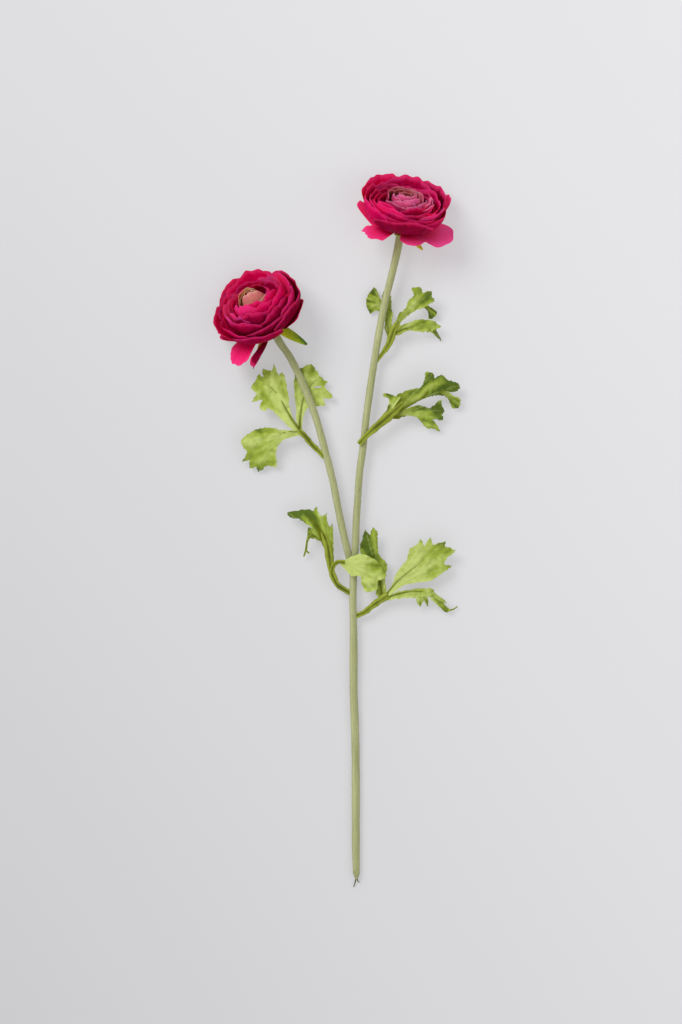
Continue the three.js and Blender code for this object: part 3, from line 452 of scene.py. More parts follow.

# The colours of the petal finishes: at the root, where they are dark, bright and blushed, at the rim and in
# the veins, and how fully the rim takes its colour. Dark and bright follow the tone, which holds painted
# light and shade; the blushed colour is partly a painted highlight where the tone runs high, and the paler
# rim is partly a painted highlight where rims catch the light.
PETAL_COLOURS = {
    "petal_back_crimson": (
        (110, 0, 36), (118, 0, 40), (236, 2, 92), (250, 58, 142), (238, 46, 122), (120, 0, 40), 0.6,
    ),
    "petal_inside_crimson": (
        (96, 0, 30), (104, 0, 36), (240, 2, 94), (252, 80, 152), (242, 62, 136), (130, 0, 50), 0.6,
    ),
    "guard_petal_back": (
        (150, 0, 60), (172, 0, 64), (244, 8, 112), (255, 34, 152), (252, 70, 150), (150, 10, 84), 0.5,
    ),
    "guard_petal_inside": (
        (160, 0, 60), (180, 0, 70), (246, 12, 120), (255, 40, 158), (252, 76, 156), (176, 20, 110), 0.5,
    ),
    "upper_heart_back": (
        (120, 0, 52), (140, 10, 66), (206, 78, 124), (232, 96, 152), (224, 122, 160), (160, 40, 88), 0.6,
    ),
    "upper_heart_inside": (
        (84, 30, 26), (120, 60, 48), (196, 96, 112), (232, 100, 150), (214, 134, 146), (120, 70, 54), 0.7,
    ),
    "side_heart_back": (
        (190, 160, 70), (216, 186, 112), (206, 84, 116), (216, 116, 140), (236, 200, 164), (190, 80, 100),
        0.5,
    ),
    "side_heart_inside": (
        (84, 62, 12), (104, 80, 22), (164, 96, 70), (190, 110, 96), (236, 200, 160), (110, 80, 34), 0.9,
    ),
}
CRIMSON_SKINS = ["petal_back_crimson", "petal_inside_crimson", "guard_petal_back", "guard_petal_inside"]


# Numbers and curves

def lerp(a, b, t):
    return a + (b - a) * t


def clamp(value):
    """The value, held between 0 and 1."""
    return max(0, min(1, value))


def chance(seed, index):
    """A repeatable number from 0 to 1 for each seed and index."""
    return math.sin(index * 12.9898 + seed * 78.233) * 43758.5453 % 1


def around(seed, index, spread):
    """A repeatable number within spread on either side of nought."""
    return (2 * chance(seed, index) - 1) * spread


def cubic(a, b, c, d, t):
    """Value at share t of a cubic with four control values."""
    s = 1 - t
    return s * s * s * a + 3 * s * s * t * b + 3 * s * t * t * c + t * t * t * d


def along_list(values, share):
    """The value at a share of the way along a list of numbers."""
    place = share * (len(values) - 1)
    k = min(int(place), len(values) - 2)
    return lerp(values[k], values[k + 1], place - k)


def arc_point(a, control, b, t):
    """The point at share t of the arc from a to b that is drawn towards control."""
    return a.lerp(control, t).lerp(control.lerp(b, t), t)


def tapered_line(a, control, b, width, end_share):
    """Points along an arc, seen from above, each with the width there. It narrows to end_share of width."""
    shares = [n / LINE_STEPS for n in range(LINE_STEPS + 1)]
    return [(*arc_point(a, control, b, t)[:2], width * lerp(1, end_share, t)) for t in shares]


def crosswise(along):
    """Two directions square to a line that runs along: a level one, and one that points up."""
    across = Vector((along.y, -along.x, 0)).normalized()
    return across, across.cross(along)


class Route:
    """A smooth line through points, measured along its length."""

    STEPS = 12

    def __init__(self, points):
        points = [Vector(p) for p in points]
        ends = [2 * points[0] - points[1], *points, 2 * points[-1] - points[-2]]
        self.line = [points[0]]
        for k in range(1, len(ends) - 2):
            before, a, b, after = ends[k - 1:k + 3]
            for step in range(1, self.STEPS + 1):
                t = step / self.STEPS
                bend = (2 * before - 5 * a + 4 * b - after) * t * t
                swing = (3 * a - before - 3 * b + after) * t * t * t
                self.line.append(0.5 * (2 * a + (b - before) * t + bend + swing))
        self.lengths = [0]
        for a, b in zip(self.line, self.line[1:]):
            self.lengths.append(self.lengths[-1] + (b - a).length)

    def at(self, share):
        """The point at a share of the length, and the direction there."""
        wanted = clamp(share) * self.lengths[-1]
        k = 1
        while k < len(self.line) - 1 and self.lengths[k] < wanted:
            k += 1
        a, b = self.line[k - 1], self.line[k]
        t = (wanted - self.lengths[k - 1]) / (self.lengths[k] - self.lengths[k - 1])
        before, after = self.line[max(k - 2, 0)], self.line[min(k + 1, len(self.line) - 1)]
        return a.lerp(b, t), (after - before).normalized()


# Work on meshes

def select_only(*objects):
    bpy.ops.object.select_all(action="DESELECT")
    for piece in objects:
        piece.select_set(True)
    bpy.context.view_layer.objects.active = objects[0]


def primitive(add, **settings):
    """A new primitive, with no other object selected."""
    bpy.ops.object.select_all(action="DESELECT")
    add(**settings)
    return bpy.context.object


def joined(pieces):
    select_only(*pieces)
    bpy.ops.object.join()
    return pieces[0]


def apply(piece, kind, **settings):
    """Adds a modifier of this kind to a piece and applies it."""
    select_only(piece)
    modifier = piece.modifiers.new(kind.title(), kind)
    for name, value in settings.items():
        setattr(modifier, name, value)
    bpy.ops.object.modifier_apply(modifier=modifier.name)


def copy_of(blank):
    copy = blank.copy()
    copy.data = blank.data.copy()
    bpy.context.collection.objects.link(copy)
    return copy


def paint(piece, **numbers):
    """Keeps numbers for each point of a piece, by name, for its finish to read."""
    for name, values in numbers.items():
        attribute = piece.data.attributes.new(name, "FLOAT", "POINT")
        attribute.data.foreach_set("value", values)


BLANKS = {}


def sheet(grid, surface, tone):
    """A sheet on surface(s, t), s from -1 to 1 across and t from 0 to 1 from root to rim. tone(s, t) says
    how light it is. Its front is the side that faces away from the bloom's axis."""
    if grid not in BLANKS:
        settings = {"x_subdivisions": grid[0], "y_subdivisions": grid[1], "size": 2}
        BLANKS[grid] = primitive(bpy.ops.mesh.primitive_grid_add, **settings)
    piece = copy_of(BLANKS[grid])
    shares = [(v.co.x, (v.co.y + 1) / 2) for v in piece.data.vertices]
    for vertex, (s, t) in zip(piece.data.vertices, shares):
        vertex.co = surface(s, t)
    paint(piece, tone=[tone(s, t) for s, t in shares])
    return piece


def thicken(piece, thickness, finishes):
    """Gives a thin piece its thickness. The finishes are for its fronts and backs, in pairs."""
    for finish in finishes:
        piece.data.materials.append(finish)
    apply(piece, "SOLIDIFY", thickness=thickness, offset=0, material_offset=1, material_offset_rim=0)


def soft_sheets(sheets, finishes):
    """Petals or sepals as one piece, given their thickness and smoothed."""
    piece = joined(sheets)
    thicken(piece, PETAL_THICKNESS, finishes)
    apply(piece, "SUBSURF", levels=1, render_levels=1)
    return piece


def turned(profile, sides, finish, place):
    """A body turned about a bloom's axis, from (radius, height) points from its foot up. Both ends are
    closed."""
    settings = {"vertices": sides, "radius": profile[0][0], "fill_type": "NGON"}
    body = primitive(bpy.ops.mesh.primitive_circle_add, **settings)
    bpy.ops.object.mode_set(mode="EDIT")
    bpy.ops.mesh.select_all(action="SELECT")
    bpy.ops.transform.translate(value=(0, 0, profile[0][1]))
    for (radius, height), (next_radius, next_height) in zip(profile, profile[1:]):
        bpy.ops.mesh.extrude_region_move(TRANSFORM_OT_translate={"value": (0, 0, next_height - height)})
        grown = next_radius / radius
        bpy.ops.transform.resize(value=(grown, grown, 1), center_override=(0, 0, next_height))
    bpy.ops.mesh.select_all(action="SELECT")
    bpy.ops.mesh.normals_make_consistent(inside=False)
    bpy.ops.object.mode_set(mode="OBJECT")
    body.data.materials.append(finish)
    body.data.transform(place)
    return body


def rod(points, half_widths, sides, cuts, section, finish, flatness=1):
    """A rod along a route. section(angle, share) scales its outline, angle 90 degrees being on top, and
    gives how much of a groove or a band is there. Nothing goes below the table."""
    route = Route(points)
    settings = {"vertices": sides, "radius": 1, "depth": 1, "end_fill_type": "NGON"}
    body = primitive(bpy.ops.mesh.primitive_cylinder_add, **settings)
    for part in (*body.data.vertices, *body.data.polygons):
        part.select = False
    for edge in body.data.edges:
        low, high = (body.data.vertices[k].co.z for k in edge.vertices)
        edge.select = abs(high - low) > 0.5
    # The long edges are cut in edge mode, because point mode would cut the rings at the ends too
    bpy.context.tool_settings.mesh_select_mode = (False, True, False)
    bpy.ops.object.mode_set(mode="EDIT")
    bpy.ops.mesh.subdivide(number_cuts=cuts)
    bpy.ops.mesh.select_mode(type="VERT")
    bpy.ops.object.mode_set(mode="OBJECT")
    grooves = []
    for vertex in body.data.vertices:
        share = clamp(vertex.co.z + 0.5)
        point, along = route.at(share)
        across, over = crosswise(along)
        scale, groove = section(math.atan2(vertex.co.y, vertex.co.x), share)
        width = along_list(half_widths, share) * scale
        vertex.co = point + across * vertex.co.x * width + over * vertex.co.y * width * flatness
        vertex.co.z = max(vertex.co.z, 0)
        grooves.append(groove)
    paint(body, vein=grooves)
    body.data.materials.append(finish)
    return body


def finished(piece, name, node):
    """Brings a piece to metres and puts it in the frame in place of its node."""
    piece.data.transform(Matrix.Scale(MM, 4))
    piece.name = name
    piece.data.name = name
    select_only(piece)
    bpy.ops.object.shade_smooth_by_angle(angle=math.radians(SMOOTH_ANGLE))
    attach(piece, "root")
    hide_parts(node)


# Finishes

def colour(red, green, blue):
    """A colour as it looks on a screen, each part up to 255, as a shader wants it."""
    parts = [part / 255 for part in (red, green, blue)]
    return (*(p / 12.92 if p < 0.04045 else ((p + 0.055) / 1.055) ** 2.4 for p in parts), 1)


class Value:
    """A number socket of a finish. Sums with it add Math nodes."""

    def __init__(self, finish, socket):
        self.finish = finish
        self.socket = socket

    def _math(self, operation, *values):
        return self.finish.node("ShaderNodeMath", dict(enumerate(values)), operation=operation)

    def __add__(self, other):
        return self._math("ADD", self, other)

    def __radd__(self, other):
        return self._math("ADD", other, self)

    def __sub__(self, other):
        return self._math("SUBTRACT", self, other)

    def __rsub__(self, other):
        return self._math("SUBTRACT", other, self)

    def __mul__(self, other):
        return self._math("MULTIPLY", self, other)

    def __rmul__(self, other):
        return self._math("MULTIPLY", other, self)

    def __truediv__(self, other):
        return self._math("DIVIDE", self, other)

    def __rtruediv__(self, other):
        return self._math("DIVIDE", other, self)

    def clamped(self):
        return self.finish.node("ShaderNodeClamp", {"Value": self})

    def between(self, low, high):
        """0 below low, 1 above high, and a straight rise from one to the other."""
        return ((self - low) / (high - low)).clamped()


class Finish:
    """A material and the nodes that make it."""

    def __init__(self, name, **constants):
        self.material = bpy.data.materials.new(name)
        self.material.use_nodes = True
        self.tree = self.material.node_tree
        self.shader = self.tree.nodes["Principled BSDF"]
        self.shine(**constants)

    def node(self, kind, inputs=None, output=0, stops=None, **settings):
        node = self.tree.nodes.new(kind)
        for name, value in settings.items():
            setattr(node, name, value)
        for k, (place, shade) in enumerate(stops or []):
            elements = node.color_ramp.elements
            element = elements[k] if k < len(elements) else elements.new(place)
            element.position = place
            element.color = shade
        for key, value in (inputs or {}).items():
            self.feed(node.inputs[key], value)
        return Value(self, node.outputs[output])

    def feed(self, socket, value):
        if isinstance(value, Value):
            self.tree.links.new(value.socket, socket)
        else:
            socket.default_value = value

    def shine(self, **sockets):
        """Sets or feeds the shader's own sockets."""
        for name, value in sockets.items():
            self.feed(self.shader.inputs[name.replace("_", " ")], value)

    def mix(self, a, b, share, blend="MIX"):
        settings = {"data_type": "RGBA", "blend_type": blend}
        return self.node("ShaderNodeMix", {0: share, 6: a, 7: b}, output=2, **settings)

    def attribute(self, name):
        return self.node("ShaderNodeAttribute", output="Fac", attribute_name=name)

    def places(self, scale, source="Object"):
        """Coordinates of the surface, scaled by three numbers."""
        here = self.node("ShaderNodeTexCoord", output=source)
        return self.node("ShaderNodeMapping", {"Vector": here, "Scale": scale})

    def noise(self, scale, detail, source="Object"):
        """Noise from 0 to 1, finer along an axis where its scale is larger."""
        inputs = {"Vector": self.places(scale, source), "Scale": 1, "Detail": detail, "Roughness": 0.55}
        return self.node("ShaderNodeTexNoise", inputs)

    def bump(self, height, strength, distance):
        """Makes the surface uneven by a height."""
        inputs = {"Height": height, "Strength": strength, "Distance": distance}
        self.shine(Normal=self.node("ShaderNodeBump", inputs, output="Normal"))


def petal_finish(name):
    """Petal skin: darker towards its root, brighter by its tone and at last blushed, paler at its rim,
    finely veined from root to rim and faintly mottled. The tone holds painted light and shade, the blush is
    partly a painted highlight where the tone runs high, and the paler rim is partly a painted highlight."""
    *shades, rim_share = PETAL_COLOURS[name]
    root, dark, bright, blush_and_highlight, rim, veins = (colour(*shade) for shade in shades)
    finish = Finish(name, Specular_IOR_Level=0.02, Subsurface_Weight=0.55, Subsurface_Scale=0.0025)
    uv = finish.node("ShaderNodeTexCoord", output="UV")
    outward = finish.node("ShaderNodeSeparateXYZ", {"Vector": uv}, output="Y")
    tone = finish.attribute("tone")
    streaks = finish.noise((46, 2.2, 1), 4, "UV")
    broad = finish.noise((9, 1.4, 1), 2, "UV")
    mottle = finish.noise((420, 420, 420), 3)
    light = (tone + (streaks - 0.5) * 0.5 + (broad - 0.5) * 0.55 + (mottle - 0.5) * 0.3).clamped()
    body = finish.mix(dark, bright, light)
    # Where the tone runs high the blush colour takes over, partly a painted highlight
    body = finish.mix(body, blush_and_highlight, (tone + (broad - 0.5) * 0.4).between(0.85, 1.5))
    body = finish.mix(root, body, (outward * 1.5 + (streaks - 0.5) * 0.5).clamped())
    # The paler rim is partly the petal's own edge and partly a painted highlight
    edge = (outward + (broad - 0.5) * 0.07).between(0.9, 0.995) * rim_share
    body = finish.mix(body, rim, edge)
    body = finish.mix(body, veins, streaks.between(0.56, 0.72) * 0.25)
    finish.shine(Base_Color=body, Roughness=0.5 + 0.18 * mottle)
    finish.bump(streaks + 0.4 * mottle, 0.35, 0.0004)
    return finish.material


def leaf_finish(name):
    """Leaf skin: from pale to dark by its tone, with veins, olive folds, fine cells and a soft mottle. The
    tone holds painted light and shade as well as the leaf's own greens.
    """
    *shades, vein_depth = LEAF_COLOURS[name]
    pale, green, dark, vein_colour = (colour(*shade) for shade in shades)
    finish = Finish(name, Specular_IOR_Level=0.15)
    tone = finish.attribute("tone")
    vein = finish.attribute("vein")
    cell_inputs = {"Vector": finish.places((900, 900, 900)), "Scale": 1}
    cells = finish.node("ShaderNodeTexVoronoi", cell_inputs, output="Distance")
    patches = finish.noise((110, 110, 110), 3)
    mottle = finish.noise((520, 520, 520), 4)
    depth = (tone + (patches - 0.5) * 0.45 + (mottle - 0.5) * 0.35).clamped()
    body = finish.node("ShaderNodeValToRGB", {"Fac": depth}, stops=[(0, pale), (0.5, green), (1, dark)])
    body = finish.mix(body, vein_colour, vein * 0.5)
    fold = finish.attribute("fold")
    body = finish.mix(body, colour(96, 104, 0), (fold * 1.3 + (patches - 0.5) * 0.5).between(0.1, 1.1))
    finish.shine(Base_Color=body, Roughness=0.52 + 0.2 * mottle)
    finish.bump(0.5 * cells + mottle - vein * vein_depth, 0.4, 0.0005)
    return finish.material


def stalk_finish():
    """Leaf stalk: yellow-green with a dark olive groove, fine streaks along it."""
    finish = Finish("stalk_grooved", Specular_IOR_Level=0.2)
    groove = finish.attribute("vein")
    streaks = finish.noise((420, 420, 160), 3)
    patches = finish.noise((90, 90, 90), 2)
    body = finish.mix(colour(118, 132, 18), colour(176, 186, 72), (streaks + patches - 0.5).clamped())
    body = finish.mix(body, colour(78, 86, 0), (groove + (patches - 0.45) * 1.8).clamped())
    finish.shine(Base_Color=body, Roughness=0.5 + 0.2 * streaks)
    finish.bump(streaks - groove, 0.3, 0.0004)
    return finish.material


def stem_finish():
    """Stem: pale sage with a lighter band along it, a painted highlight, fine ribs, darker flecks and a
    bloom of down.
    """
    finish = Finish("stem_downy", Sheen_Weight=0.35, Sheen_Roughness=0.6, Specular_IOR_Level=0.25)
    # The band is a painted highlight along the side of the stem that faces the key light
    band = finish.attribute("vein")
    long_streaks = finish.noise((900, 45, 900), 3)
    patches = finish.noise((60, 22, 60), 2)
    flecks = finish.noise((1300, 420, 1300), 3).between(0.62, 0.75)
    light = ((long_streaks - 0.5) * 0.9 + (patches - 0.5) * 0.8 + 0.45 + 0.35 * band).clamped()
    body = finish.mix(colour(128, 133, 72), colour(179, 182, 133), light)
    body = finish.mix(body, colour(96, 102, 50), flecks * 0.45)
    finish.shine(Base_Color=body, Roughness=0.72 + 0.2 * patches)
    finish.bump(long_streaks + 0.5 * flecks, 0.45, 0.0004)
    return finish.material


def plain_finish(name, low, high, scale, gloss):
    """A finish that wanders between two colours, with a fine bump."""
    finish = Finish(name, Specular_IOR_Level=gloss)
    patches = finish.noise((scale, scale, scale), 4)
    body = finish.mix(colour(*low), colour(*high), patches.between(0.3, 0.7))
    finish.shine(Base_Color=body, Roughness=0.6 + 0.25 * patches)
    finish.bump(patches, 0.4, 0.0004)
    return finish.material


def table_finish():
    """The table: pale, with painted light that makes it a little brighter towards the upper right."""
    finish = Finish("table_pale", Specular_IOR_Level=0.1, Emission_Strength=TABLE_GLOW)
    here = finish.node("ShaderNodeTexCoord", output="Object")
    across = finish.node("ShaderNodeSeparateXYZ", {"Vector": here}, output="X")
    along = finish.node("ShaderNodeSeparateXYZ", {"Vector": here}, output="Y")
    # Painted light: the table is darker towards the lower left and brighter towards the upper right
    share = (0.5 + across * 1.5 + along * 0.5).clamped()
    grain = finish.noise((700, 700, 700), 2)
    body = finish.mix(colour(206, 206, 208), colour(233, 232, 235), share)
    dimmed = finish.mix(body, (0.45, 0.45, 0.45, 1), 1, "MULTIPLY")
    finish.shine(Base_Color=dimmed, Roughness=0.85 + 0.1 * grain, Emission_Color=body)
    finish.bump(grain, 0.05, 0.0002)
    return finish.material


# Petals and sepals

def bloom_place(bloom):
    """The frame of a bloom: its Z runs up its axis, and azimuth 0 is the side nearest +X."""
    up = Vector(bloom["facing"]).normalized()
    right = (Vector((1, 0, 0)) - up * up.x).normalized()
    turn = Matrix((right, up.cross(right), up)).transposed().to_4x4()
    return Matrix.Translation(bloom["foot"]) @ turn @ Matrix.Scale(bloom["size"], 4)


def petal(place, grid, light, profile, azimuth, half_angle, rounding, wave, teeth, crease, seed,
          lean=0, phase=0, twist=0, sway=0, flare=0):
    """A petal. light is its tone, how much lighter its rim is than its root, and the share of its length
    that has the tone. profile has four (radius, height) points that draw its run from root to rim. rounding
    draws in the corners, wave ruffles the rim, from a phase, teeth cuts it finely and crease folds the
    petal along. lean tucks one edge under the next petal, twist turns the tip, sway swings it round and
    flare turns the rim out."""
    tone, rise, middle = light
    notch = around(seed, 5, 0.7)
    fold_shift = 6 * chance(seed, 4)
    rim_waves = [(*rim_wave, 9 * chance(seed, k)) for k, rim_wave in enumerate(RIM_WAVES, 1)]

    def along(k, t):
        return cubic(*(point[k] for point in profile), t)

    def surface(s, t):
        rag = sum(depth * math.sin(waves * s + shift) for depth, waves, shift in rim_waves)
        split = SPLIT_DEPTH * math.exp(-((s - notch) / SPLIT_WIDTH) ** 2)
        share = t * (1 - rounding * abs(s) ** 2.4) + teeth * t ** 6 * (rag - split)
        radius, height = along(0, share), along(1, share)
        ahead = share + 0.01
        out, up = along(0, ahead) - radius, along(1, ahead) - height
        tuck = lean * s / math.hypot(out, up)
        angle = math.radians(azimuth + s * half_angle + sway * t)
        ruffle = wave * t ** 3
        frill = 0.35 * wave * t ** 8 * math.sin(17 * angle + 3 * phase)
        fold = crease * t * t * math.cos(7 * s + fold_shift)
        r = radius + tuck * up + ruffle * math.sin(5 * angle + phase) + fold + frill + flare * t ** 6
        h = height - tuck * out + 0.6 * ruffle * math.cos(7 * angle + 2 * phase) + twist * s * t
        point = place @ Vector((r * math.cos(angle), r * math.sin(angle), h))
        point.z = max(point.z, PETAL_THICKNESS / 2)
        return point
    return sheet(grid, surface, lambda s, t: tone + rise * (t - middle))


def bell(azimuth, middle, spread):
    """1 in the middle, falling to nought on both sides of it round the bloom."""
    apart = (azimuth - middle + 180) % 360 - 180
    return math.exp(-(apart / spread) ** 2)


def placed(table, ring, azimuth):
    """What a table of (azimuth, spread, first ring, last ring, amount) gives a petal for its place."""
    return sum(
        amount * bell(azimuth, middle, spread)
        for middle, spread, first, last, amount in table if first <= ring <= last
    )


def crimson_petals(bloom, place):
    """The crimson petals, in rings round their core, each by its place in its ring and a little chance."""
    petals = []
    for ring, (front, back) in enumerate(zip(bloom["front"], bloom["back"])):
        share = ring / (len(bloom["front"]) - 1)
        belly = lerp(*bloom["bellies"], share)
        root = RING_FOOT + RINGS_RISE * share
        for n in range(CRIMSON_PETALS):
            own = 1000 * bloom["seed"] + 31 * ring + 7 * n
            turn = 360 / CRIMSON_PETALS * (n + ring * RING_TURN)
            azimuth = bloom["ring_start"] + turn + around(own, 11, STRAY_AZIMUTH)
            facing_up = (1 - math.sin(math.radians(azimuth))) / 2
            rim_radius = lerp(back[0], front[0], facing_up) + around(own, 15, STRAY_RIM_RADIUS)
            rim_height = lerp(back[1], front[1], facing_up) + around(own, 14, STRAY_RIM_HEIGHT)
            rim_height += placed(bloom["tall"], ring, azimuth)
            swell = lerp(root, rim_height, 0.34)
            bowl, widest = (belly * 0.67, root - 1.3), (belly * 1.09, swell)
            profile = [(6, root), bowl, widest, (rim_radius, rim_height)]
            # The tone is a random difference plus painted light and shade, by the petal's place in its bloom
            tone = 0.45 + around(own, 12, STRAY_TONE) + placed(bloom["painted_light"], ring, azimuth)
            petals.append(petal(
                place, CRIMSON_GRID, (tone, 0.25, 0.7), profile, azimuth,
                half_angle=45 + around(own, 13, STRAY_HALF_ANGLE), rounding=0.15,
                wave=lerp(0.75, 0.4, share), teeth=lerp(*bloom["ragged"], facing_up), crease=0.25, seed=own,
                lean=0.6, phase=6 * chance(bloom["seed"], 40 + ring),
                flare=lerp(0.8, 0.1, share) * (1 - facing_up) + placed(bloom["flared"], ring, azimuth),
            ))
    return petals


def guard_petals(bloom, place):
    """The guard petals, which hang out below the rings and take the second pair of finishes."""
    petals = []
    for n, numbers in enumerate(bloom["guards"]):
        azimuth, half_angle, rounding, reach, tip, twist, teeth, sway, tone = numbers
        profile = [(4, 4.1), (reach * 0.42, 2.2), (reach * 0.78, 2.8 + 0.34 * tip), (reach, tip)]
        # The tone is partly painted light, raised on guards that lie in the bloom's shade
        guard = petal(
            place, GUARD_GRID, (tone, 0.6, 0.3), profile, azimuth, half_angle, rounding, wave=0.8,
            teeth=teeth, crease=0.5, seed=50 + 10 * bloom["seed"] + n, twist=twist, sway=sway,
        )
        for face in guard.data.polygons:
            face.material_index = 2
        petals.append(guard)
    return petals


def heart_petals(bloom, place):
    """The pale petals that still wrap the middle of the bloom."""
    aside = place @ Matrix.Translation(bloom["heart_shift"])
    petals = []
    for n, (azimuth, half_angle, belly, rim_radius, rim_height, tone) in enumerate(bloom["heart"]):
        root = HEART_BASE + HEART_FOOT + 0.25 * n
        swell = lerp(root, rim_height, 0.62)
        bowl, widest = (belly * 0.95, root - 0.7), (belly * 1.12, swell)
        profile = [(3, root), bowl, widest, (rim_radius, rim_height)]
        petals.append(petal(
            aside, HEART_GRID, (tone, 0.8, 0.8), profile, azimuth, half_angle, rounding=0.14, wave=0.5,
            teeth=0.3, crease=0.3, seed=700 * bloom["seed"] + n, lean=0.45, phase=5 * chance(n, 3),
        ))
    return petals


def sepal(place, azimuth, reach, tip, width, tip_darkness):
    """A sepal: a pointed blade, widest near its foot, arched across with a crease along its middle, bent to
    its tip height and darker towards its tip."""
    x, y = math.cos(math.radians(azimuth)), math.sin(math.radians(azimuth))

    def surface(s, t):
        across = s * width * SEPAL_HALF_WIDTH * math.sin(math.pi * (0.22 + 0.74 * t)) ** 0.8
        r = lerp(SEPAL_FOOT, reach, t)
        crease = 0.35 * math.exp(-(s / 0.18) ** 2) * math.sin(math.pi * t)
        arch = 0.9 * s * s * math.sin(math.pi * t) + crease
        h = cubic(1.9, 1.7, lerp(1.4, tip, 0.5), tip, t) - arch
        return place @ Vector((r * x - across * y, r * y + across * x, h))
    return sheet(SEPAL_GRID, surface, lambda s, t: tip_darkness * t ** 1.5 - 0.1 + 0.25 * s)


def calyx(bloom, place, cup, finishes):
    """The green cup under a bloom with its sepals."""
    profile = [
        (COLLAR_RADIUS, CLEARANCE), (4.3, 0.8), (CALYX_RADIUS, 1.6), (CALYX_RADIUS - 0.2, CALYX_TOP),
    ]
    sepals = soft_sheets([sepal(place, *numbers) for numbers in bloom["sepals"]], finishes)
    return joined([sepals, turned(profile, TURNED_SIDES, cup, place)])


def crimson_head(bloom, place, core, finishes):
    """The crimson and the guard petals of a bloom, with the core that carries them."""
    profile = [
        (CALYX_RADIUS, CALYX_TOP + CLEARANCE), (CORE_RADIUS, 7), (CORE_RADIUS, CORE_TOP - 1),
        (CORE_RADIUS - 1, CORE_TOP),
    ]
    petals = soft_sheets([*crimson_petals(bloom, place), *guard_petals(bloom, place)], finishes)
    return joined([petals, turned(profile, TURNED_SIDES, core, place)])


def wrapped_heart(bloom, place, finishes):
    """The heart petals of a bloom, with the core that carries them."""
    profile = [
        (HEART_CORE_RADIUS, HEART_BASE), (HEART_CORE_RADIUS, HEART_BASE + 4), (3, HEART_BASE + 8),
        (1, HEART_BASE + 9),
    ]
    petals = soft_sheets(heart_petals(bloom, place), finishes)
    return joined([petals, turned(profile, HEART_CORE_SIDES, finishes[1], place)])


# Leaves

def rim_points(ends, seed):
    """The rim with points between its corners, bent so that the teeth curve, and finely ragged."""
    points = []
    for k, (a, b) in enumerate(zip(ends, ends[1:])):
        before, after = ends[max(k - 1, 0)], ends[min(k + 2, len(ends) - 1)]
        sideways = Vector((b.y - a.y, a.x - b.x, 0)).normalized()
        for n in range(RIM_STEPS):
            t = n / RIM_STEPS
            smooth_bend = (a + b - before - after) * (0.24 * t * (1 - t))
            rag = around(seed, RIM_STEPS * k + n, 0.55) * math.sin(math.pi * t)
            points.append(a.lerp(b, t) + smooth_bend + sideways * rag)
    return [*points, ends[-1]]


def vein_control(root, bend, end, farthest):
    """What the line from the base to a point of the rim is drawn towards."""
    return root.lerp(end, 0.5).lerp(bend, 0.85 * (end - root).length / farthest)


def vein_lines(root, bend, ends, farthest):
    """Lines from the base to each tooth, with their widths."""
    lines = []
    for k, end in enumerate(ends):
        reach = (end - root).length
        if all((ends[j] - root).length <= reach for j in (max(k - 1, 0), min(k + 1, len(ends) - 1))):
            lines.append(tapered_line(root, vein_control(root, bend, end, farthest), end, 1, 0.35))
    return lines


def fold_line(half_width, *corners):
    """A line through three corners, with its widths."""
    a, b, c = (Vector(corner) for corner in corners)
    return tapered_line(a, 2 * b - (a + c) / 2, c, half_width, 0.3)


def depth_at(x, y, lines):
    """How much of a vein or a fold there is at a place on a blade, from 0 to 1."""
    most = 0
    for line in lines:
        for (ax, ay, width), (bx, by, _) in zip(line, line[1:]):
            dx, dy = bx - ax, by - ay
            t = clamp(((x - ax) * dx + (y - ay) * dy) / (dx * dx + dy * dy + 1e-9))
            gap = math.hypot(x - ax - t * dx, y - ay - t * dy)
            most = max(most, 1 - gap / width)
    return most


def cut_face(outline):
    """A flat face with this outline, cut into small squares."""
    settings = {"vertices": len(outline), "radius": 1, "fill_type": "NGON"}
    blade = primitive(bpy.ops.mesh.primitive_circle_add, **settings)
    for vertex, point in zip(blade.data.vertices, outline):
        vertex.co = (point.x, point.y, 0)
    bpy.ops.object.mode_set(mode="EDIT")
    for axis in (0, 1):
        low, high = min(p[axis] for p in outline), max(p[axis] for p in outline)
        place, facing = Vector((0, 0, 0)), Vector((0, 0, 0))
        facing[axis] = 1
        for n in range(1, math.ceil((high - low) / LEAF_CELL)):
            place[axis] = low + n * LEAF_CELL
            bpy.ops.mesh.select_all(action="SELECT")
            bpy.ops.mesh.bisect(plane_co=place, plane_no=facing)
    bpy.ops.mesh.select_all(action="DESELECT")
    bpy.ops.object.mode_set(mode="OBJECT")
    return blade


def pierce(blade, x, y, half_width, half_height):
    """Takes away the faces inside an oval."""
    for face in blade.data.polygons:
        away = math.hypot((face.center.x - x) / half_width, (face.center.y - y) / half_height)
        face.select = away < 1
    bpy.ops.object.mode_set(mode="EDIT")
    bpy.ops.mesh.select_mode(type="FACE")
    bpy.ops.mesh.delete(type="FACE")
    bpy.ops.mesh.select_mode(type="VERT")
    bpy.ops.object.mode_set(mode="OBJECT")


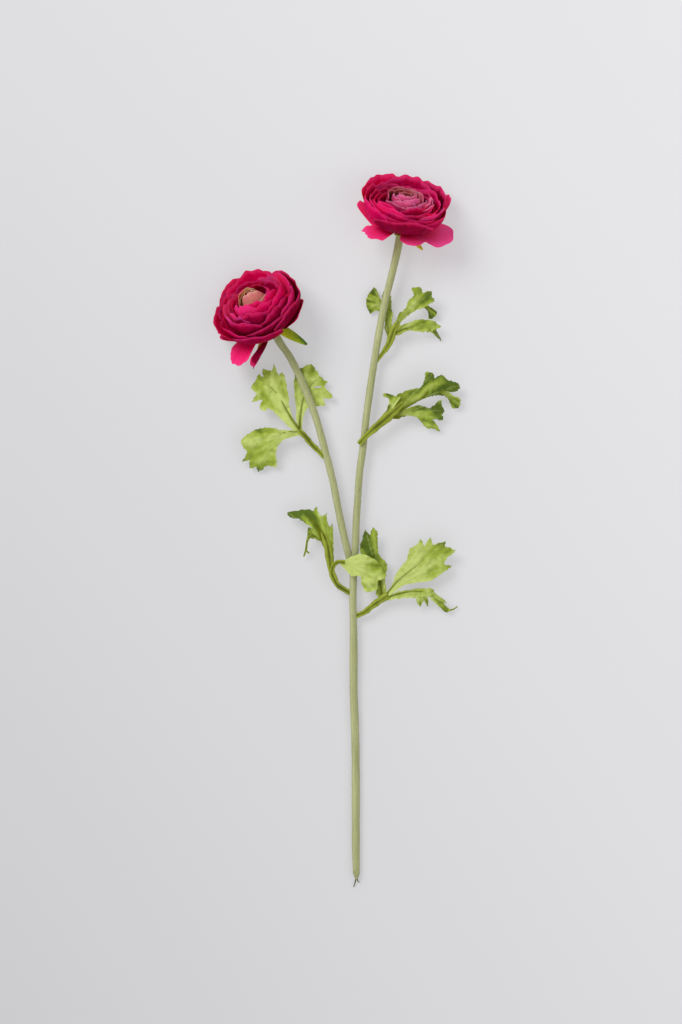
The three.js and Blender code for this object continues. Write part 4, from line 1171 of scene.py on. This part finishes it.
def leaf_blade(node, n, finishes):
    """Blade n of a leaf: a cut face, lifted to its height, its veins, its folds and its ripples."""
    base, mid, rim = LEAVES[node]["blades"][n]
    shade = LEAF_SHADES[node][n]
    olive = LEAF_OLIVE[node] * min(1, 1.4 * shade)
    seed = n + len(node)
    root, bend, ends = Vector(base), Vector(mid), [Vector(point) for point in rim]
    farthest = max((end - root).length for end in ends)
    across = (ends[-1] - ends[0]).normalized() * LEAF_FOOT
    outline = [root - across, *rim_points(ends, seed), root + across]
    area = sum(a.x * b.y - b.x * a.y for a, b in zip(outline, outline[1:] + outline[:1]))
    if area < 0:
        outline.reverse()
    blade = cut_face(outline)
    for hole in LEAF_HOLES.get((node, n), []):
        pierce(blade, *hole)

    known = [root - across, root + across, root, *ends]
    for end in ends:
        control = vein_control(root, bend, end, farthest)
        known += [arc_point(root, control, end, t) for t in (0.25, 0.5, 0.75)]
    lines = vein_lines(root, bend, ends, farthest)
    creases = [fold_line(*numbers) for numbers in LEAF_CREASES.get((node, n), [])]
    tones, veins, folds = [], [], []
    for vertex in blade.data.vertices:
        x, y = vertex.co.x, vertex.co.y
        # The height of each known point counts the more, the nearer it is
        weights = [((p.x - x) ** 2 + (p.y - y) ** 2 + 1.2) ** -2 for p in known]
        height = sum(w * p.z for w, p in zip(weights, known)) / sum(weights)
        out = math.hypot(x - root.x, y - root.y) / farthest  # 0 at the base and 1 at the farthest tooth
        vein = depth_at(x, y, lines)
        fold = max(depth_at(x, y, creases), olive * (1 - 1.7 * out))
        here = Vector((x, y, 9 * seed))
        broad, small = noise.noise(here * 0.11), noise.noise(here * 0.34)
        ray = math.atan2(y - root.y, x - root.x) * 7
        streak = noise.noise(Vector((ray, out * 1.6, 5.3 * seed)))
        # Broad and small waves and pleats along the veins, in millimetres at the rim
        ripple = out * (2.6 * broad + 1.1 * small + 1.2 * streak)
        vertex.co.z = max(height + ripple - VEIN_DEPTH * vein - FOLD_DEPTH * fold, LEAF_THICKNESS / 2)
        # The tone is lighter where the waves lift the blade and darker where they sink it, painted light and
        # shade on its ripples, and darker towards its teeth
        tones.append(shade + 0.8 * (out - 0.6) - 0.3 * broad - 0.25 * small - (0.3 + 0.8 * shade) * streak)
        veins.append(vein)
        folds.append(fold)
    paint(blade, tone=tones, vein=veins, fold=folds)
    thicken(blade, LEAF_THICKNESS, finishes)
    return blade


# Stalks, stem and down

def grooved(angle, share):
    """The outline of a leaf stalk, with a groove along its top."""
    groove = clamp(1 - abs(math.degrees(angle) - 90) / 38)
    lumps = 0.08 * math.sin(3 * angle + 5 * share) + 0.07 * math.sin(23 * share)
    lumps += 0.04 * math.sin(41 * share)
    return 1 + lumps - 0.3 * groove, groove


def ribbed(angle, share):
    """The outline of the stem, with fine ribs, and a pale band along its upper left, a painted highlight on
    the side that faces the key light.
    """
    band = clamp(1 - abs(math.degrees(angle) - 125) / 40)
    swell = 0.02 * math.sin(61 * share) + 0.012 * math.sin(137 * share)
    return 1 + 0.022 * math.cos(9 * angle + 3 * share) + swell, band


def uneven(angle, share):
    """The outline of the torn end, with no groove or band."""
    return 1 + 0.02 * math.sin(4 * angle + 30 * share), 0


def down_hairs(finish):
    """Short hairs all over the stem, as one mesh of slim cones."""
    settings = {"vertices": 3, "radius1": 1, "radius2": 0, "depth": 1, "end_fill_type": "NGON"}
    cone = primitive(bpy.ops.mesh.primitive_cone_add, **settings)
    shape = [vertex.co + Vector((0, 0, 0.5)) for vertex in cone.data.vertices]
    sides = [tuple(face.vertices) for face in cone.data.polygons]
    bpy.data.objects.remove(cone)
    main, side = Route(MAIN_ROUTE), Route(SIDE_ROUTE)
    corners, faces = [], []
    for n in range(DOWN_HAIRS):
        route = main if n % 3 else side
        share = 0.02 + 0.95 * chance(3, n)
        radius = STEM_RADIUS if route is main and share <= FORK_SHARE else BRANCH_RADIUS
        angle = 2 * math.pi * chance(4, n)
        point, along = route.at(share)
        across, over = crosswise(along)
        out = across * math.cos(angle) + over * math.sin(angle)
        lean = (out + along * around(5, n, 0.5) + across * around(6, n, 0.3)).normalized()
        turn = lean.to_track_quat("Z", "Y").to_matrix().to_4x4()
        size = Matrix.Diagonal((HAIR_RADIUS, HAIR_RADIUS, lerp(*HAIR_LENGTHS, chance(7, n)), 1))
        place = Matrix.Translation(point + out * radius * 0.97) @ turn @ size
        tip = place @ Vector((0, 0, 1))
        if tip.z > 0.05:
            start = len(corners)
            corners += [place @ corner for corner in shape]
            faces += [tuple(start + k for k in side_corners) for side_corners in sides]
    mesh = bpy.data.meshes.new("down")
    mesh.from_pydata(corners, [], faces)
    mesh.materials.append(finish)
    hairs = bpy.data.objects.new("down", mesh)
    bpy.context.collection.objects.link(hairs)
    return hairs


def whole_stem(stem, torn):
    """The main stem, its side branch, the torn end and the down on them, as one piece."""
    main_radii = [STEM_FOOT_RADIUS, *[STEM_RADIUS] * 7, *[BRANCH_RADIUS] * 12, COLLAR_WAIST]
    side_radii = [FORK_RADIUS, *[BRANCH_RADIUS] * 9, COLLAR_WAIST]
    parts = [
        rod(MAIN_ROUTE, main_radii, STEM_SIDES, cuts=200, section=ribbed, finish=stem),
        rod(SIDE_ROUTE, side_radii, STEM_SIDES, cuts=100, section=ribbed, finish=stem),
        rod(NECK_ROUTE, NECK_RADII, NECK_SIDES, cuts=16, section=uneven, finish=stem),
    ]
    for route in STRAND_ROUTES:
        parts.append(rod(route, STRAND_RADII, STRAND_SIDES, cuts=10, section=uneven, finish=torn))
    return joined([*parts, down_hairs(stem)])


def whole_leaf(node, stalk, finishes):
    """The stalks and the blades of a leaf, as one piece."""
    parts = []
    for points, half_widths in LEAVES[node]["stalks"]:
        parts.append(rod(points, half_widths, STALK_SIDES, 8 * len(points), grooved, stalk, STALK_FLATNESS))
    for n in range(len(LEAVES[node]["blades"])):
        parts.append(leaf_blade(node, n, finishes))
    return joined(parts)


# Camera, light and table

def add_to_scene(name, data, place):
    thing = bpy.data.objects.new(name, data)
    thing.location = place
    bpy.context.scene.collection.objects.link(thing)
    return thing


def set_scene():
    scene = bpy.context.scene
    camera_data = bpy.data.cameras.new("camera")
    camera_data.lens = CAMERA_LENS
    camera_data.sensor_width = SENSOR_WIDTH
    scene.camera = add_to_scene("camera", camera_data, CAMERA_PLACE)
    scene.view_settings.view_transform = "Standard"

    for name, place, size, power in LIGHTS:
        data = bpy.data.lights.new(name, "AREA")
        data.shape = "DISK"
        data.size = size
        data.energy = power
        aim = Vector(LIGHTS_AIM) - Vector(place)
        add_to_scene(name, data, place).rotation_euler = aim.to_track_quat("-Z", "Y").to_euler()
    world = bpy.data.worlds.new("studio")
    world.use_nodes = True
    background = world.node_tree.nodes["Background"]
    background.inputs["Color"].default_value = (1, 1, 1, 1)
    background.inputs["Strength"].default_value = WORLD_LIGHT
    scene.world = world

    table = primitive(bpy.ops.mesh.primitive_plane_add, size=TABLE_SIZE)
    table.name = "table"
    table.data.materials.append(table_finish())


# Making the spray

set_scene()

torn_end = plain_finish("stem_torn_end", (66, 64, 28), (104, 106, 52), 600, 0.2)
finished(whole_stem(stem_finish(), torn_end), "stem_downy", "stem")

stalk = stalk_finish()
skins = {name: leaf_finish(name) for name in LEAF_COLOURS}
skins |= {name: petal_finish(name) for name in PETAL_COLOURS}
for node in LEAVES:
    leaf = whole_leaf(node, stalk, [skins["leaf_upper_side"], skins["leaf_underside"]])
    finished(leaf, node + "_veined", node)

cup = plain_finish("calyx_cup", (222, 230, 130), (238, 242, 168), 300, 0.3)
core = plain_finish("petal_core", (84, 0, 28), (110, 0, 36), 300, 0.2)
for name, bloom in BLOOMS.items():
    place = bloom_place(bloom)
    greens = calyx(bloom, place, cup, [skins["sepal_outer_side"], skins["sepal_inner_side"]])
    finished(greens, name + "_calyx_sepals", name + "_calyx")
    crimsons = crimson_head(bloom, place, core, [skins[skin] for skin in CRIMSON_SKINS])
    finished(crimsons, name + "_petals_waved", name + "_petals")
    pales = wrapped_heart(bloom, place, [skins[name + "_heart_back"], skins[name + "_heart_inside"]])
    finished(pales, name + "_heart_wrapped", name + "_heart")

for blank in BLANKS.values():
    bpy.data.objects.remove(blank)
